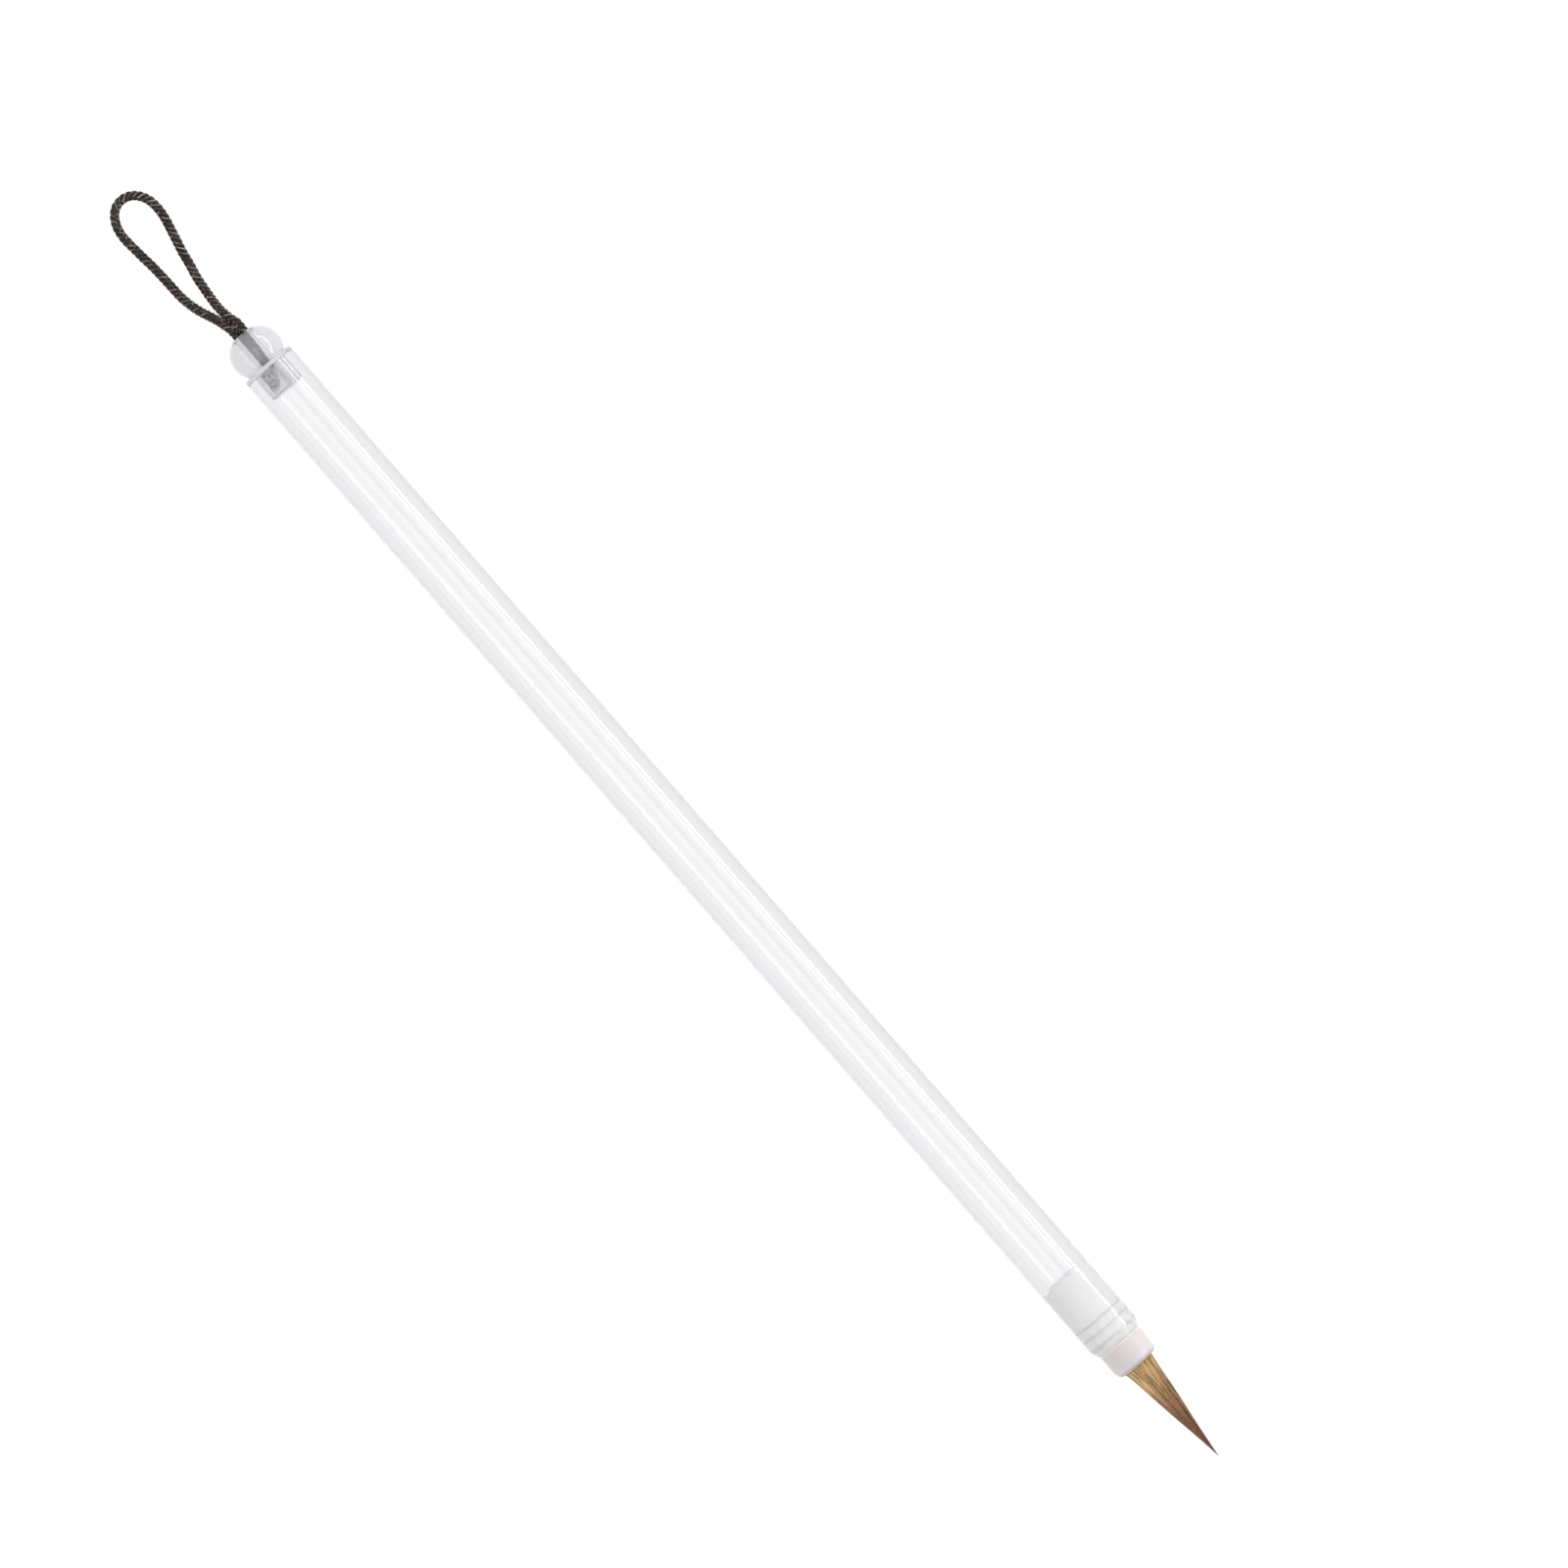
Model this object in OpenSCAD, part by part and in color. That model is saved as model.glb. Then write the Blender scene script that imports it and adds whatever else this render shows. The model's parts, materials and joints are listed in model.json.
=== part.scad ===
// Calligraphy brush with a clear hollow handle, lying on its side along X, hair towards +X.
// Millimetres, +Z up. The origin is on the surface that the brush lies on, under its middle.

/* [Handle] */
// Length of the handle tube
handle_l = 201.5; // [120:0.5:280]
// Outside diameter of the handle tube
handle_d = 9; // [8.4:0.1:12]
// Wall of the handle tube
handle_wall = 1.5; // [1.2:0.05:1.8]
// Chamfer inside the tube's mouth, over which the plug's ball sits
mouth_chamfer = 0.45; // [0.3:0.05:0.5]
// Length of the taper round the tube's hair end
taper_l = 1.5; // [0.5:0.1:2.5]
// Depth of the taper round the tube's hair end
taper_depth = 0.6; // [0.3:0.05:0.8]

/* [Plug] */
// How much smaller than the handle the plug's ball is, across
ball_inset = 0.3; // [0:0.05:0.6]
// Height of the ball's crown above its middle
crown_h = 3.8; // [3:0.1:4.5]
// Length of the plug's stub inside the tube
stub_l = 4.9; // [4.2:0.1:12]
// Wall of the plug's hollow stub
stub_wall = 0.75; // [0.5:0.05:0.8]
// Radial gap between the plug's stub and the tube, a hand-tight sliding fit
plug_gap = 0.05; // [0.02:0.01:0.1]
// Gap between the ball and the chamfer in the tube's mouth
seat_gap = 0.03; // [0.02:0.01:0.1]
// Countersink round the cord hole in the crown
hole_chamfer = 0.25; // [0.1:0.05:0.4]

/* [Cord] */
// Diameter of the braided cord
cord_d = 1.5; // [1.2:0.1:1.6]
// Gap between the two strands that lie side by side
strand_gap = 0.04; // [0.02:0.01:0.1]
// Radial gap between the two strands and the hole that they pass through
hole_gap = 0.07; // [0.03:0.01:0.15]
// How far the knot, which leans on the stub's wall, reaches past the brush's axis
knot_reach = 0.65; // [0.3:0.05:1.2]
// Length of the knot with the cord's two cut ends
knot_l = 4.1; // [3.4:0.1:4.2]
// Gap between the knot and the stub's wall
knot_gap = 0.1; // [0.05:0.01:0.2]

/* [Ferrule] */
// Length of the ferrule's spigot, bonded inside the tube
spigot_l = 13.4; // [10:0.1:30]
// Radial gap between the spigot and the tube, filled by adhesive
bond_gap = 0.02; // [0.01:0.01:0.05]
// Length of the collar outside the tube
collar_l = 4.6; // [3.6:0.1:8]
// Step from the tube's tapered end down to the collar
collar_step = 0.05; // [0:0.01:0.2]
// Wall of the collar round the hair
collar_wall = 1.05; // [0.8:0.05:1.2]
// Length of the collar's rounded end
collar_round_l = 1.55; // [0.8:0.05:2]
// Width of the flat lip round the hair
lip_w = 0.1; // [0.05:0.01:0.3]
// Number of adhesive grooves round the spigot
groove_count = 3; // [1:1:4]
// Distance from the tube's end to the first groove's middle
groove_start = 1.5; // [1:0.1:2]
// Distance between the grooves
groove_pitch = 1.75; // [1:0.05:2]
// Width of a groove
groove_w = 0.5; // [0.3:0.05:0.8]
// Depth of a groove
groove_depth = 0.2; // [0.1:0.05:0.3]
// Diameter of the hollow in the spigot
core_d = 3.6; // [2:0.1:3.8]
// Thickness of the web between the spigot's hollow and the hair's socket
web_t = 2; // [1:0.1:4]

/* [Hair] */
// Length of the hair outside the ferrule
hair_l = 19.1; // [14:0.1:45]
// Length of the bare point, which only the core's hairs reach
point_l = 4.1; // [2:0.1:8]
// Radial gap that lets the hair flex inside the collar
flex_gap = 0.1; // [0.05:0.01:0.2]
// Share of the hair's radius at the ferrule that is core
core_share = 0.5; // [0.3:0.05:0.7]
// Length of the bound root inside the ferrule
root_l = 2.1; // [1.8:0.1:4]
// Gap between the bound root and the hair that flexes
root_gap = 0.3; // [0.2:0.05:1]
// Radial gap between the wound thread and the root socket
thread_gap = 0.1; // [0.05:0.01:0.2]
// Diameter of the binding thread
thread_d = 0.32; // [0.2:0.02:0.4]
// Turns of binding thread round the root
thread_turns = 4; // [2:1:4]
// Thickness of the adhesive under the root
glue_t = 0.7; // [0.3:0.1:1.5]
// Step from the wide mouth of the socket down to the root's part of it
socket_step = 0.45; // [0.3:0.05:0.8]

/* [Hidden] */
$fn = 96;
eps = 0.01; // how far a cut runs past the face that it opens

// Radii
handle_r = handle_d / 2;
bore_r = handle_r - handle_wall;
ball_r = (handle_d - ball_inset) / 2;
stub_r = bore_r - plug_gap;
cavity_r = stub_r - stub_wall;
strand_r = cord_d / 2;
strand_y = strand_r + strand_gap / 2;
hole_r = cord_d + strand_gap / 2 + hole_gap;
spigot_r = bore_r - bond_gap;
collar_r = handle_r - taper_depth - collar_step;
socket_r = collar_r - collar_wall;
root_socket_r = socket_r - socket_step;
hair_r = socket_r - flex_gap;
root_r = root_socket_r - thread_gap - thread_d;

// Height of the ball's middle over the mouth. The ball comes nearest either to the chamfer's face, at
// face_depth into the mouth, or to one of the chamfer's two edges.
mouth_r = bore_r + mouth_chamfer;
seat_d = ball_r + seat_gap;
face_up = seat_d * sqrt(2) - mouth_r;
face_depth = (mouth_r - face_up) / 2;
inner_edge_up = sqrt(seat_d * seat_d - bore_r * bore_r) - mouth_chamfer;
outer_edge_up = sqrt(seat_d * seat_d - mouth_r * mouth_r);
ball_up = face_depth >= 0 && face_depth <= mouth_chamfer ? face_up : max(inner_edge_up, outer_edge_up);

// Heights and distances along X. The brush's axis is parallel to X at height axis_z.
axis_z = handle_r;
hole_edge_r = hole_r + hole_chamfer;
crown_up = ball_up + crown_h * sqrt(1 - pow(hole_edge_r / ball_r, 2));
overall_l = crown_up + handle_l + collar_l + hair_l;
mouth_x = crown_up - overall_l / 2;
tube_end_x = mouth_x + handle_l;
hair_x = tube_end_x + collar_l;
socket_l = hair_r + root_gap;
root_x = hair_x - socket_l - root_l;
socket_end_x = root_x - glue_t;

// The cord swings about a line across the brush, just outside the hole
pivot_out = 1;
pivot_x = mouth_x - crown_up - pivot_out;
knot_top = 0.4; // how far the strands run into the knot

// The hair tapers to a point, a little fuller than a cone along its middle
hair_power = 1.05;
hair_belly = 0.08;
hair_flare = 0.08; // share of the radius that spreads at the ferrule
flare_l = 0.8;
profile_steps = 14;

// The loop's route, from strand to strand round the loop. Each point is its distance beyond the
// pivot, its place across the brush and its height over the surface.
loop_route = [
    [0.9, 0.75, 4.5], [2, 0.4, 4.35], [3.2, 0.15, 3.9], [4.6, 0.05, 3.15], [6.6, 0.15, 2],
    [8.6, 0.35, 1.2], [10.6, 0.6, 0.9], [12.8, 1.1, 0.8], [15, 1.5, 0.8], [17, 2, 0.8],
    [19, 2.5, 0.8], [21, 2.95, 0.8], [22.8, 3.1, 0.8], [24.5, 2.9, 0.8], [25.95, 2.2, 0.8],
    [26.95, 1.1, 0.8], [27.35, -0.4, 0.8], [26.95, -1.9, 0.8], [25.9, -3, 0.8],
    [24.4, -3.7, 0.8], [22.6, -3.95, 0.8], [20.5, -3.85, 0.8], [18.5, -3.7, 0.8],
    [16.4, -3.5, 0.8], [14.2, -3.4, 0.8], [12, -3.35, 0.8], [10, -3.3, 0.95],
    [8, -3.05, 1.4], [6, -2.7, 2.3], [4.4, -2.3, 3.25], [3, -1.85, 3.95],
    [1.9, -1.35, 4.35], [0.9, -0.85, 4.5]
];
cord_sides = 8;

// Places children at x on the brush's axis, with their +Z along +X and their +X along +Y
module on_axis(x) {
    translate([x, 0, axis_z]) rotate([90, 0, 90]) children();
}

// A ring of radius r1 to r2 and length l, standing on z = 0
module ring(r1, r2, l) {
    difference() {
        cylinder(h = l, r = r2);
        translate([0, 0, -eps]) cylinder(h = l + 2 * eps, r = r1);
    }
}

module handle_tube() {
    color([0.88, 0.91, 0.95, 0.45]) on_axis(mouth_x) difference() {
        union() {
            cylinder(h = handle_l - taper_l, r = handle_r);
            translate([0, 0, handle_l - taper_l])
                cylinder(h = taper_l, r1 = handle_r, r2 = handle_r - taper_depth);
        }
        translate([0, 0, -eps]) cylinder(h = handle_l + 2 * eps, r = bore_r);
        translate([0, 0, -eps])
            cylinder(h = mouth_chamfer + eps, r1 = bore_r + mouth_chamfer + eps, r2 = bore_r);
    }
}

// Points of the ball's half outline as [radius, height over its middle], crown first
function ball_outline(steps = 20) = let (
        top = asin(hole_edge_r / ball_r),
        low = acos(-sqrt(ball_r * ball_r - stub_r * stub_r) / ball_r)
    ) [
        for (i = [0:steps]) let (a = top + (low - top) * i / steps)
            [ball_r * sin(a), (a < 90 ? crown_h : ball_r) * cos(a)]
    ];

// Ball, hollow stub and cord hole in one moulding
module end_plug() {
    outline = ball_outline();
    crown = outline[0][1];
    stub_end = -ball_up - stub_l;
    corner = 0.35;
    color([0.9, 0.92, 0.96, 0.6]) on_axis(mouth_x - ball_up) rotate([180, 0, 0])
        rotate_extrude() polygon(concat(
            outline,
            [
                [stub_r, stub_end + corner], [stub_r - corner, stub_end],
                [cavity_r, stub_end], [cavity_r, -ball_up], [hole_r, -ball_up],
                [hole_r, crown - hole_chamfer]
            ]
        ));
}

function unit(v) = v / norm(v);

// Sweeps a cord_sides-sided tube of radius r along the points, with flat ends
module swept_cord(points, r) {
    last = len(points) - 1;
    rings = [
        for (i = [0:last]) let (
            t = unit(points[min(i + 1, last)] - points[max(i - 1, 0)]),
            side = unit(cross(t, [0, 0, 1])),
            up = cross(side, t)
        ) for (k = [0:cord_sides - 1]) let (a = 360 * (k + 0.5) / cord_sides)
            points[i] + r * (side * cos(a) + up * sin(a))
    ];
    walls = [
        for (i = [0:last - 1], k = [0:cord_sides - 1])
            let (n = (k + 1) % cord_sides, at = i * cord_sides)
            [at + k, at + n, at + cord_sides + n, at + cord_sides + k]
    ];
    start_cap = [[for (k = [cord_sides - 1:-1:0]) k]];
    end_cap = [[for (k = [0:cord_sides - 1]) last * cord_sides + k]];
    polyhedron(rings, concat(walls, start_cap, end_cap));
}

module hanging_loop() {
    color([0.2, 0.15, 0.13])
        swept_cord([for (p = loop_route) [pivot_x - p[0], p[1], p[2]]], strand_r);
}

// Middle line of one strand from the pivot to the knot. The pair turns a quarter round itself, from
// side by side to one above the other.
function neck_route(side, steps = 10) = let (length = mouth_x + knot_top - pivot_x) [
    for (i = [0:steps]) let (a = 90 * side_turn(i / steps)) [
        pivot_x + length * i / steps, side * strand_y * cos(a), axis_z + side * strand_y * sin(a)
    ]
];
function side_turn(t) = t * t * (3 - 2 * t);

// The two strands inside the hole, with domed ends at the pivot
module cord_neck() {
    color([0.24, 0.18, 0.16]) for (side = [-1, 1]) {
        swept_cord(neck_route(side), strand_r);
        translate([pivot_x, side * strand_y, axis_z]) sphere(r = strand_r);
    }
}

// The cord's two ends, knotted and melted together into a stop that is wider than the hole. It
// leans on one side of the stub, so it is cut to its own outline seen from above.
module cord_knot() {
    fit_r = cavity_r - knot_gap;
    thick = fit_r + knot_reach;
    past = 1; // how far the outline runs outside the round body
    color([0.3, 0.25, 0.23]) intersection() {
        on_axis(mouth_x) rotate_extrude() polygon([
            [0, knot_gap], [0.8 * fit_r, knot_gap], [fit_r, 0.5], [fit_r, knot_l / 2],
            [0.6 * fit_r, knot_l], [0, knot_l]
        ]);
        translate([mouth_x, -fit_r, 0]) linear_extrude(2 * axis_z) polygon([
            [0, -past], [knot_l + past, -past], [knot_l + past, 0.3 * thick],
            [knot_l, 0.35 * thick], [0.7 * knot_l, 0.72 * thick],
            [0.4 * knot_l, 0.93 * thick], [0, thick]
        ]);
    }
}

// Half outline of the collar's end as [radius, distance from the tube's end]
function collar_end(steps = 8) = let (drop = collar_wall - lip_w) [
    for (i = [0:steps]) let (a = 90 * i / steps)
        [collar_r - drop * (1 - cos(a)), collar_l - collar_round_l * (1 - sin(a))]
];

module ferrule() {
    lead_in = 0.4;
    socket_floor = socket_end_x - tube_end_x;
    hollow_end = socket_floor - web_t;
    color([0.9, 0.89, 0.88, 0.85]) on_axis(tube_end_x) difference() {
        union() {
            rotate_extrude() polygon(concat([[0, 0], [collar_r, 0]], collar_end(), [[0, collar_l]]));
            translate([0, 0, -spigot_l])
                cylinder(h = lead_in, r1 = spigot_r - lead_in, r2 = spigot_r);
            translate([0, 0, lead_in - spigot_l]) cylinder(h = spigot_l - lead_in, r = spigot_r);
        }
        translate([0, 0, collar_l - socket_l]) cylinder(h = socket_l + eps, r = socket_r);
        translate([0, 0, socket_floor]) cylinder(h = collar_l - socket_floor, r = root_socket_r);
        translate([0, 0, -spigot_l - eps])
            cylinder(h = hollow_end + spigot_l + eps, r = core_d / 2);
        at_grooves() ring(spigot_r - groove_depth, spigot_r + 1, groove_w);
    }
}

// Places children at each groove's hair-side edge, for a child that stands on z = 0
module at_grooves() {
    for (i = [0:groove_count - 1])
        translate([0, 0, -groove_start - i * groove_pitch - groove_w / 2]) children();
}

// Rings of adhesive that fill the grooves and hold the spigot to the tube
module spigot_adhesive() {
    color([0.93, 0.93, 0.9, 0.8]) on_axis(tube_end_x) at_grooves()
        ring(spigot_r - groove_depth, bore_r, groove_w);
}

module root_adhesive() {
    color([0.85, 0.75, 0.55]) on_axis(socket_end_x) cylinder(h = glue_t, r = root_socket_r);
}

module tuft_root() {
    color([0.55, 0.42, 0.28]) on_axis(root_x) cylinder(h = root_l, r = root_r);
}

// Turns of thread laid side by side round the root
module binding_thread() {
    pitch = root_l / (thread_turns + 1);
    color([0.92, 0.88, 0.8]) for (i = [1:thread_turns])
        on_axis(root_x + i * pitch) rotate_extrude()
            translate([root_r + thread_d / 2, 0]) circle(d = thread_d, $fn = 24);
}

// Radius of the hair, and of its core, at a distance x from the ferrule
function hair_radius(x) = let (
        t = x / hair_l,
        body = pow(1 - t, hair_power) * (1 + hair_belly * sin(180 * t)),
        flare = hair_flare * exp(-x / flare_l) * (1 - t)
    ) hair_r * ((1 - hair_flare) * body + flare);
function core_radius(x) = let (share = core_share + (1 - core_share) * pow(x / mantle_l, 2))
    hair_radius(x) * share;
mantle_l = hair_l - point_l;

// Outline of the ball-shaped base of the hair between two radii, as [radius, distance]
function hair_base(r1, r2, steps = 6) = let (a1 = asin(r1 / hair_r), a2 = asin(r2 / hair_r)) [
    for (i = [0:steps]) let (a = a1 + (a2 - a1) * i / steps) hair_r * [sin(a), -cos(a)]
];

// The longer inner hairs, which end in the brush's point
module tuft_core() {
    inner = core_share * hair_r;
    sides = [for (i = [0:profile_steps]) let (x = mantle_l * i / profile_steps) [core_radius(x), x]];
    point = [for (i = [1:4]) let (x = mantle_l + point_l * i / 4) [hair_radius(x), x]];
    color([0.55, 0.32, 0.18]) on_axis(hair_x)
        rotate_extrude() polygon(concat(hair_base(0, inner), sides, point));
}

// The shorter outer hairs, wrapped round the core
module tuft_mantle() {
    inner = core_share * hair_r;
    steps = profile_steps;
    outside = [for (i = [1:steps]) let (x = mantle_l * i / steps) [hair_radius(x), x]];
    inside = [for (i = [steps - 1:-1:0]) let (x = mantle_l * i / steps) [core_radius(x), x]];
    color([0.75, 0.6, 0.38]) on_axis(hair_x)
        rotate_extrude() polygon(concat(hair_base(inner, hair_r), outside, inside));
}

handle_tube();
end_plug();
hanging_loop();
cord_neck();
cord_knot();
ferrule();
spigot_adhesive();
root_adhesive();
tuft_root();
binding_thread();
tuft_core();
tuft_mantle();
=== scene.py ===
"""Looks of a calligraphy brush with a clear hollow handle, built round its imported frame.

Metres, +Z up. The brush lies along X with its hair towards +X, and its cord's loop lies on the
floor beyond the handle's other end.
"""

import json
import logging
import math
from dataclasses import dataclass, field
from enum import Enum
from typing import Any, Callable, Sequence

import bmesh
import bpy
import numpy as np
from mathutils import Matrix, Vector, noise


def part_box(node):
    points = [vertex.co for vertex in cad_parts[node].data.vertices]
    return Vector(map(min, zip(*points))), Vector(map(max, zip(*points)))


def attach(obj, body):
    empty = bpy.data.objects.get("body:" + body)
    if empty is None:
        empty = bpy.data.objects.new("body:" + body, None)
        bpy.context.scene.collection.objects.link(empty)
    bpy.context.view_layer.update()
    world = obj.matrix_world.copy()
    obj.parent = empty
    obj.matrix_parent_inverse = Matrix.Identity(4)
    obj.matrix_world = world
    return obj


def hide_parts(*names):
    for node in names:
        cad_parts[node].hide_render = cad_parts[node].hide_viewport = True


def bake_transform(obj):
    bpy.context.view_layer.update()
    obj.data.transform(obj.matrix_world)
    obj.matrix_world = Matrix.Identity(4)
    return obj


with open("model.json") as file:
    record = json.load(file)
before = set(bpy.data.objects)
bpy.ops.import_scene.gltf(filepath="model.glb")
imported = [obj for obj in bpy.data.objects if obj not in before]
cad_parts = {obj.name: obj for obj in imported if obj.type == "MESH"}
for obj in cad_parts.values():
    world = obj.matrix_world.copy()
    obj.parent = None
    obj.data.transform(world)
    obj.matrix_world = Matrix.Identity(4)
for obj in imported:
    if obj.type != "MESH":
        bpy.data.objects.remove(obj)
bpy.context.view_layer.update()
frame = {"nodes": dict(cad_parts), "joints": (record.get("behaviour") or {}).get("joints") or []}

log = logging.getLogger("brush")
MM = 0.001
ON_AXIS = 1e-7  # a radius under this is a point on the brush's axis
Colour = tuple[float, float, float]
Point = tuple[float, float, float]
Material = bpy.types.Material
Piece = bpy.types.Object


# ---------------------------------------------------------------- Node trees


class Kept(Enum):
    """What an attribute keeps at each point."""

    NUMBER = "FLOAT"
    VECTOR = "FLOAT_VECTOR"


def operator(operation: str, swapped: bool = False) -> Callable[["Socket", Any], "Socket"]:
    """An operator of Socket, which adds one Math node to its tree.

    Args:
        operation: what the node does.
        swapped: the Socket stands second.

    Returns:
        The operator's method.
    """

    def apply(self: "Socket", other: Any) -> "Socket":
        """The node's output."""
        a, b = (other, self) if swapped else (self, other)
        return self.tree.math(operation, a, b)

    return apply


class Socket:
    """A node's output, with the operators that add Math nodes to its tree."""

    def __init__(self, tree: "NodeTree", source: bpy.types.NodeSocket) -> None:
        """Wraps source, an output of one of tree's nodes."""
        self.tree = tree
        self.source = source

    def __getitem__(self, name: str) -> "Socket":
        """Another output of the same node."""
        return Socket(self.tree, self.source.node.outputs[name])

    __add__, __radd__ = operator("ADD"), operator("ADD", swapped=True)
    __sub__, __rsub__ = operator("SUBTRACT"), operator("SUBTRACT", swapped=True)
    __mul__, __rmul__ = operator("MULTIPLY"), operator("MULTIPLY", swapped=True)
    __truediv__, __rtruediv__ = operator("DIVIDE"), operator("DIVIDE", swapped=True)
    __pow__ = operator("POWER")
    __gt__ = operator("GREATER_THAN")


class NodeTree:
    """Builds a node tree from Python expressions."""

    def __init__(self, tree: bpy.types.NodeTree) -> None:
        """Empties tree and builds in it."""
        self.tree = tree
        tree.nodes.clear()

    def node(
        self,
        kind: str,
        settings: dict[str, Any] | None = None,
        sockets: dict[str | int, Any] | None = None,
        output: str | int = 0,
    ) -> Socket:
        """Adds one node.

        Args:
            kind: the node's type.
            settings: its properties, set first. "stops" are a colour ramp's (place, colour) pairs.
            sockets: values or links of its inputs, by name or number.
            output: which output to return.

        Returns:
            The chosen output. Its others are reached by name.
        """
        made = self.tree.nodes.new(kind)
        for name, value in (settings or {}).items():
            if name == "stops":
                self._set_stops(made.color_ramp, value)
            else:
                setattr(made, name, value)
        for name, value in (sockets or {}).items():
            self.feed(made.inputs[name], value)
        return Socket(self, made.outputs[output] if len(made.outputs) else made.inputs[0])

    def _set_stops(self, ramp: bpy.types.ColorRamp, stops: Sequence[tuple[float, Colour]]) -> None:
        """Gives a colour ramp its stops."""
        while len(ramp.elements) > 1:
            ramp.elements.remove(ramp.elements[-1])
        for i, (place, colour) in enumerate(stops):
            element = ramp.elements[0] if i == 0 else ramp.elements.new(place)
            element.position = place
            element.color = (*colour, 1)

    def feed(self, socket: bpy.types.NodeSocket, value: Any) -> None:
        """Links a Socket, several Sockets or a plain value to an input."""
        if isinstance(value, Socket):
            self.tree.links.new(value.source, socket)
        elif isinstance(value, list):
            for each in value:
                self.tree.links.new(each.source, socket)
        elif socket.type == "RGBA" and len(value) == 3:
            socket.default_value = (*value, 1)
        else:
            socket.default_value = value

    def math(self, operation: str, a: Any, b: Any = None) -> Socket:
        """A Math node on one or two values."""
        given = {i: v for i, v in enumerate((a, b)) if v is not None}
        return self.node("ShaderNodeMath", {"operation": operation}, given)

    def ramp(self, value: Socket, low: float, high: float) -> Socket:
        """0 below low, 1 above high and smooth between them."""
        settings = {"interpolation_type": "SMOOTHSTEP"}
        sockets = {"Value": value, "From Min": low, "From Max": high}
        return self.node("ShaderNodeMapRange", settings, sockets)

    def join(self, x: Any, y: Any, z: Any) -> Socket:
        """A vector of three values."""
        return self.node("ShaderNodeCombineXYZ", {}, {0: x, 1: y, 2: z})

    def vector(self, operation: str, a: Any, b: Any = None, scale: Any = None) -> Socket:
        """A Vector Math node."""
        given: dict[str | int, Any] = {i: v for i, v in enumerate((a, b)) if v is not None}
        if scale is not None:
            given["Scale"] = scale
        return self.node("ShaderNodeVectorMath", {"operation": operation}, given)


class GeometryTree(NodeTree):
    """A Geometry Nodes tree with named inputs, which ends in plain geometry with a material."""

    SOCKETS = {float: "NodeSocketFloat", int: "NodeSocketInt"}

    def __init__(self, name: str) -> None:
        """Makes an empty tree that takes and gives geometry and takes a material."""
        super().__init__(bpy.data.node_groups.new(name, "GeometryNodeTree"))
        for label, way, kind in (
            ("Geometry", "INPUT", "NodeSocketGeometry"),
            ("Geometry", "OUTPUT", "NodeSocketGeometry"),
            ("Material", "INPUT", "NodeSocketMaterial"),
        ):
            self.tree.interface.new_socket(label, in_out=way, socket_type=kind)
        self.entry = self.tree.nodes.new("NodeGroupInput")

    def given(self, name: str) -> Socket:
        """One of the tree's own inputs."""
        return Socket(self, self.entry.outputs[name])

    def size(self, name: str, value: float) -> Socket:
        """Adds a named input, a number of value's type, and returns it."""
        made = self.tree.interface.new_socket(
            name, in_out="INPUT", socket_type=self.SOCKETS[type(value)]
        )
        made.default_value = value
        return self.given(name)

    def attribute(self, name: str, kind: Kept = Kept.NUMBER) -> Socket:
        """A named attribute."""
        settings = {"data_type": kind.value}
        return self.node("GeometryNodeInputNamedAttribute", settings, {"Name": name})

    def store(
        self, geometry: Socket, name: str, value: Socket, kind: Kept = Kept.NUMBER
    ) -> Socket:
        """The geometry with one value kept at each of its points."""
        settings = {"data_type": kind.value, "domain": "POINT"}
        sockets = {"Geometry": geometry, "Name": name, "Value": value}
        return self.node("GeometryNodeStoreNamedAttribute", settings, sockets)

    def random(self, low: float, high: float, seed: int, index: Socket) -> Socket:
        """A number from low to high for each index, the same on every run."""
        sockets = {2: low, 3: high, "ID": index, "Seed": seed}
        return self.node("FunctionNodeRandomValue", {"data_type": "FLOAT"}, sockets, 1)

    def close(self, *parts: Socket) -> None:
        """Joins the parts, makes them real, sets the material and ends the tree."""
        joined = self.node("GeometryNodeJoinGeometry", {}, {"Geometry": list(reversed(parts))})
        smooth = self.node("GeometryNodeSetShadeSmooth", {}, {"Geometry": joined})
        real = self.node("GeometryNodeRealizeInstances", {}, {"Geometry": smooth})
        sockets = {"Geometry": real, "Material": self.given("Material")}
        dressed = self.node("GeometryNodeSetMaterial", {}, sockets)
        self.node("NodeGroupOutput", {}, {0: dressed})

    def grow(
        self,
        name: str,
        material: Material,
        values: dict[str, float] | None = None,
        points: Sequence[Point] = (),
    ) -> Piece:
        """Runs the tree and keeps what it makes as a plain mesh.

        Args:
            name: the new piece's name.
            material: what the piece is dressed in.
            values: the tree's named inputs that differ from their defaults.
            points: an open line of points that the tree starts from.

        Returns:
            The piece, at the origin, with no modifier.
        """
        seed = bpy.data.meshes.new(name)
        edges = [(i, i + 1) for i in range(len(points) - 1)]
        seed.from_pydata([tuple(p) for p in points], edges, [])
        piece = bpy.data.objects.new(name, seed)
        bpy.context.scene.collection.objects.link(piece)
        modifier = piece.modifiers.new("grow", "NODES")
        modifier.node_group = self.tree
        wanted = {"Material": material, **(values or {})}
        for item in self.tree.interface.items_tree:
            if item.in_out == "INPUT" and item.name in wanted:
                modifier[item.identifier] = wanted[item.name]
        graph = bpy.context.evaluated_depsgraph_get()
        grown = bpy.data.meshes.new_from_object(
            piece.evaluated_get(graph), preserve_all_data_layers=True, depsgraph=graph
        )
        piece.modifiers.clear()
        piece.data = grown
        grown.name = name
        bpy.data.meshes.remove(seed)
        return piece


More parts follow.
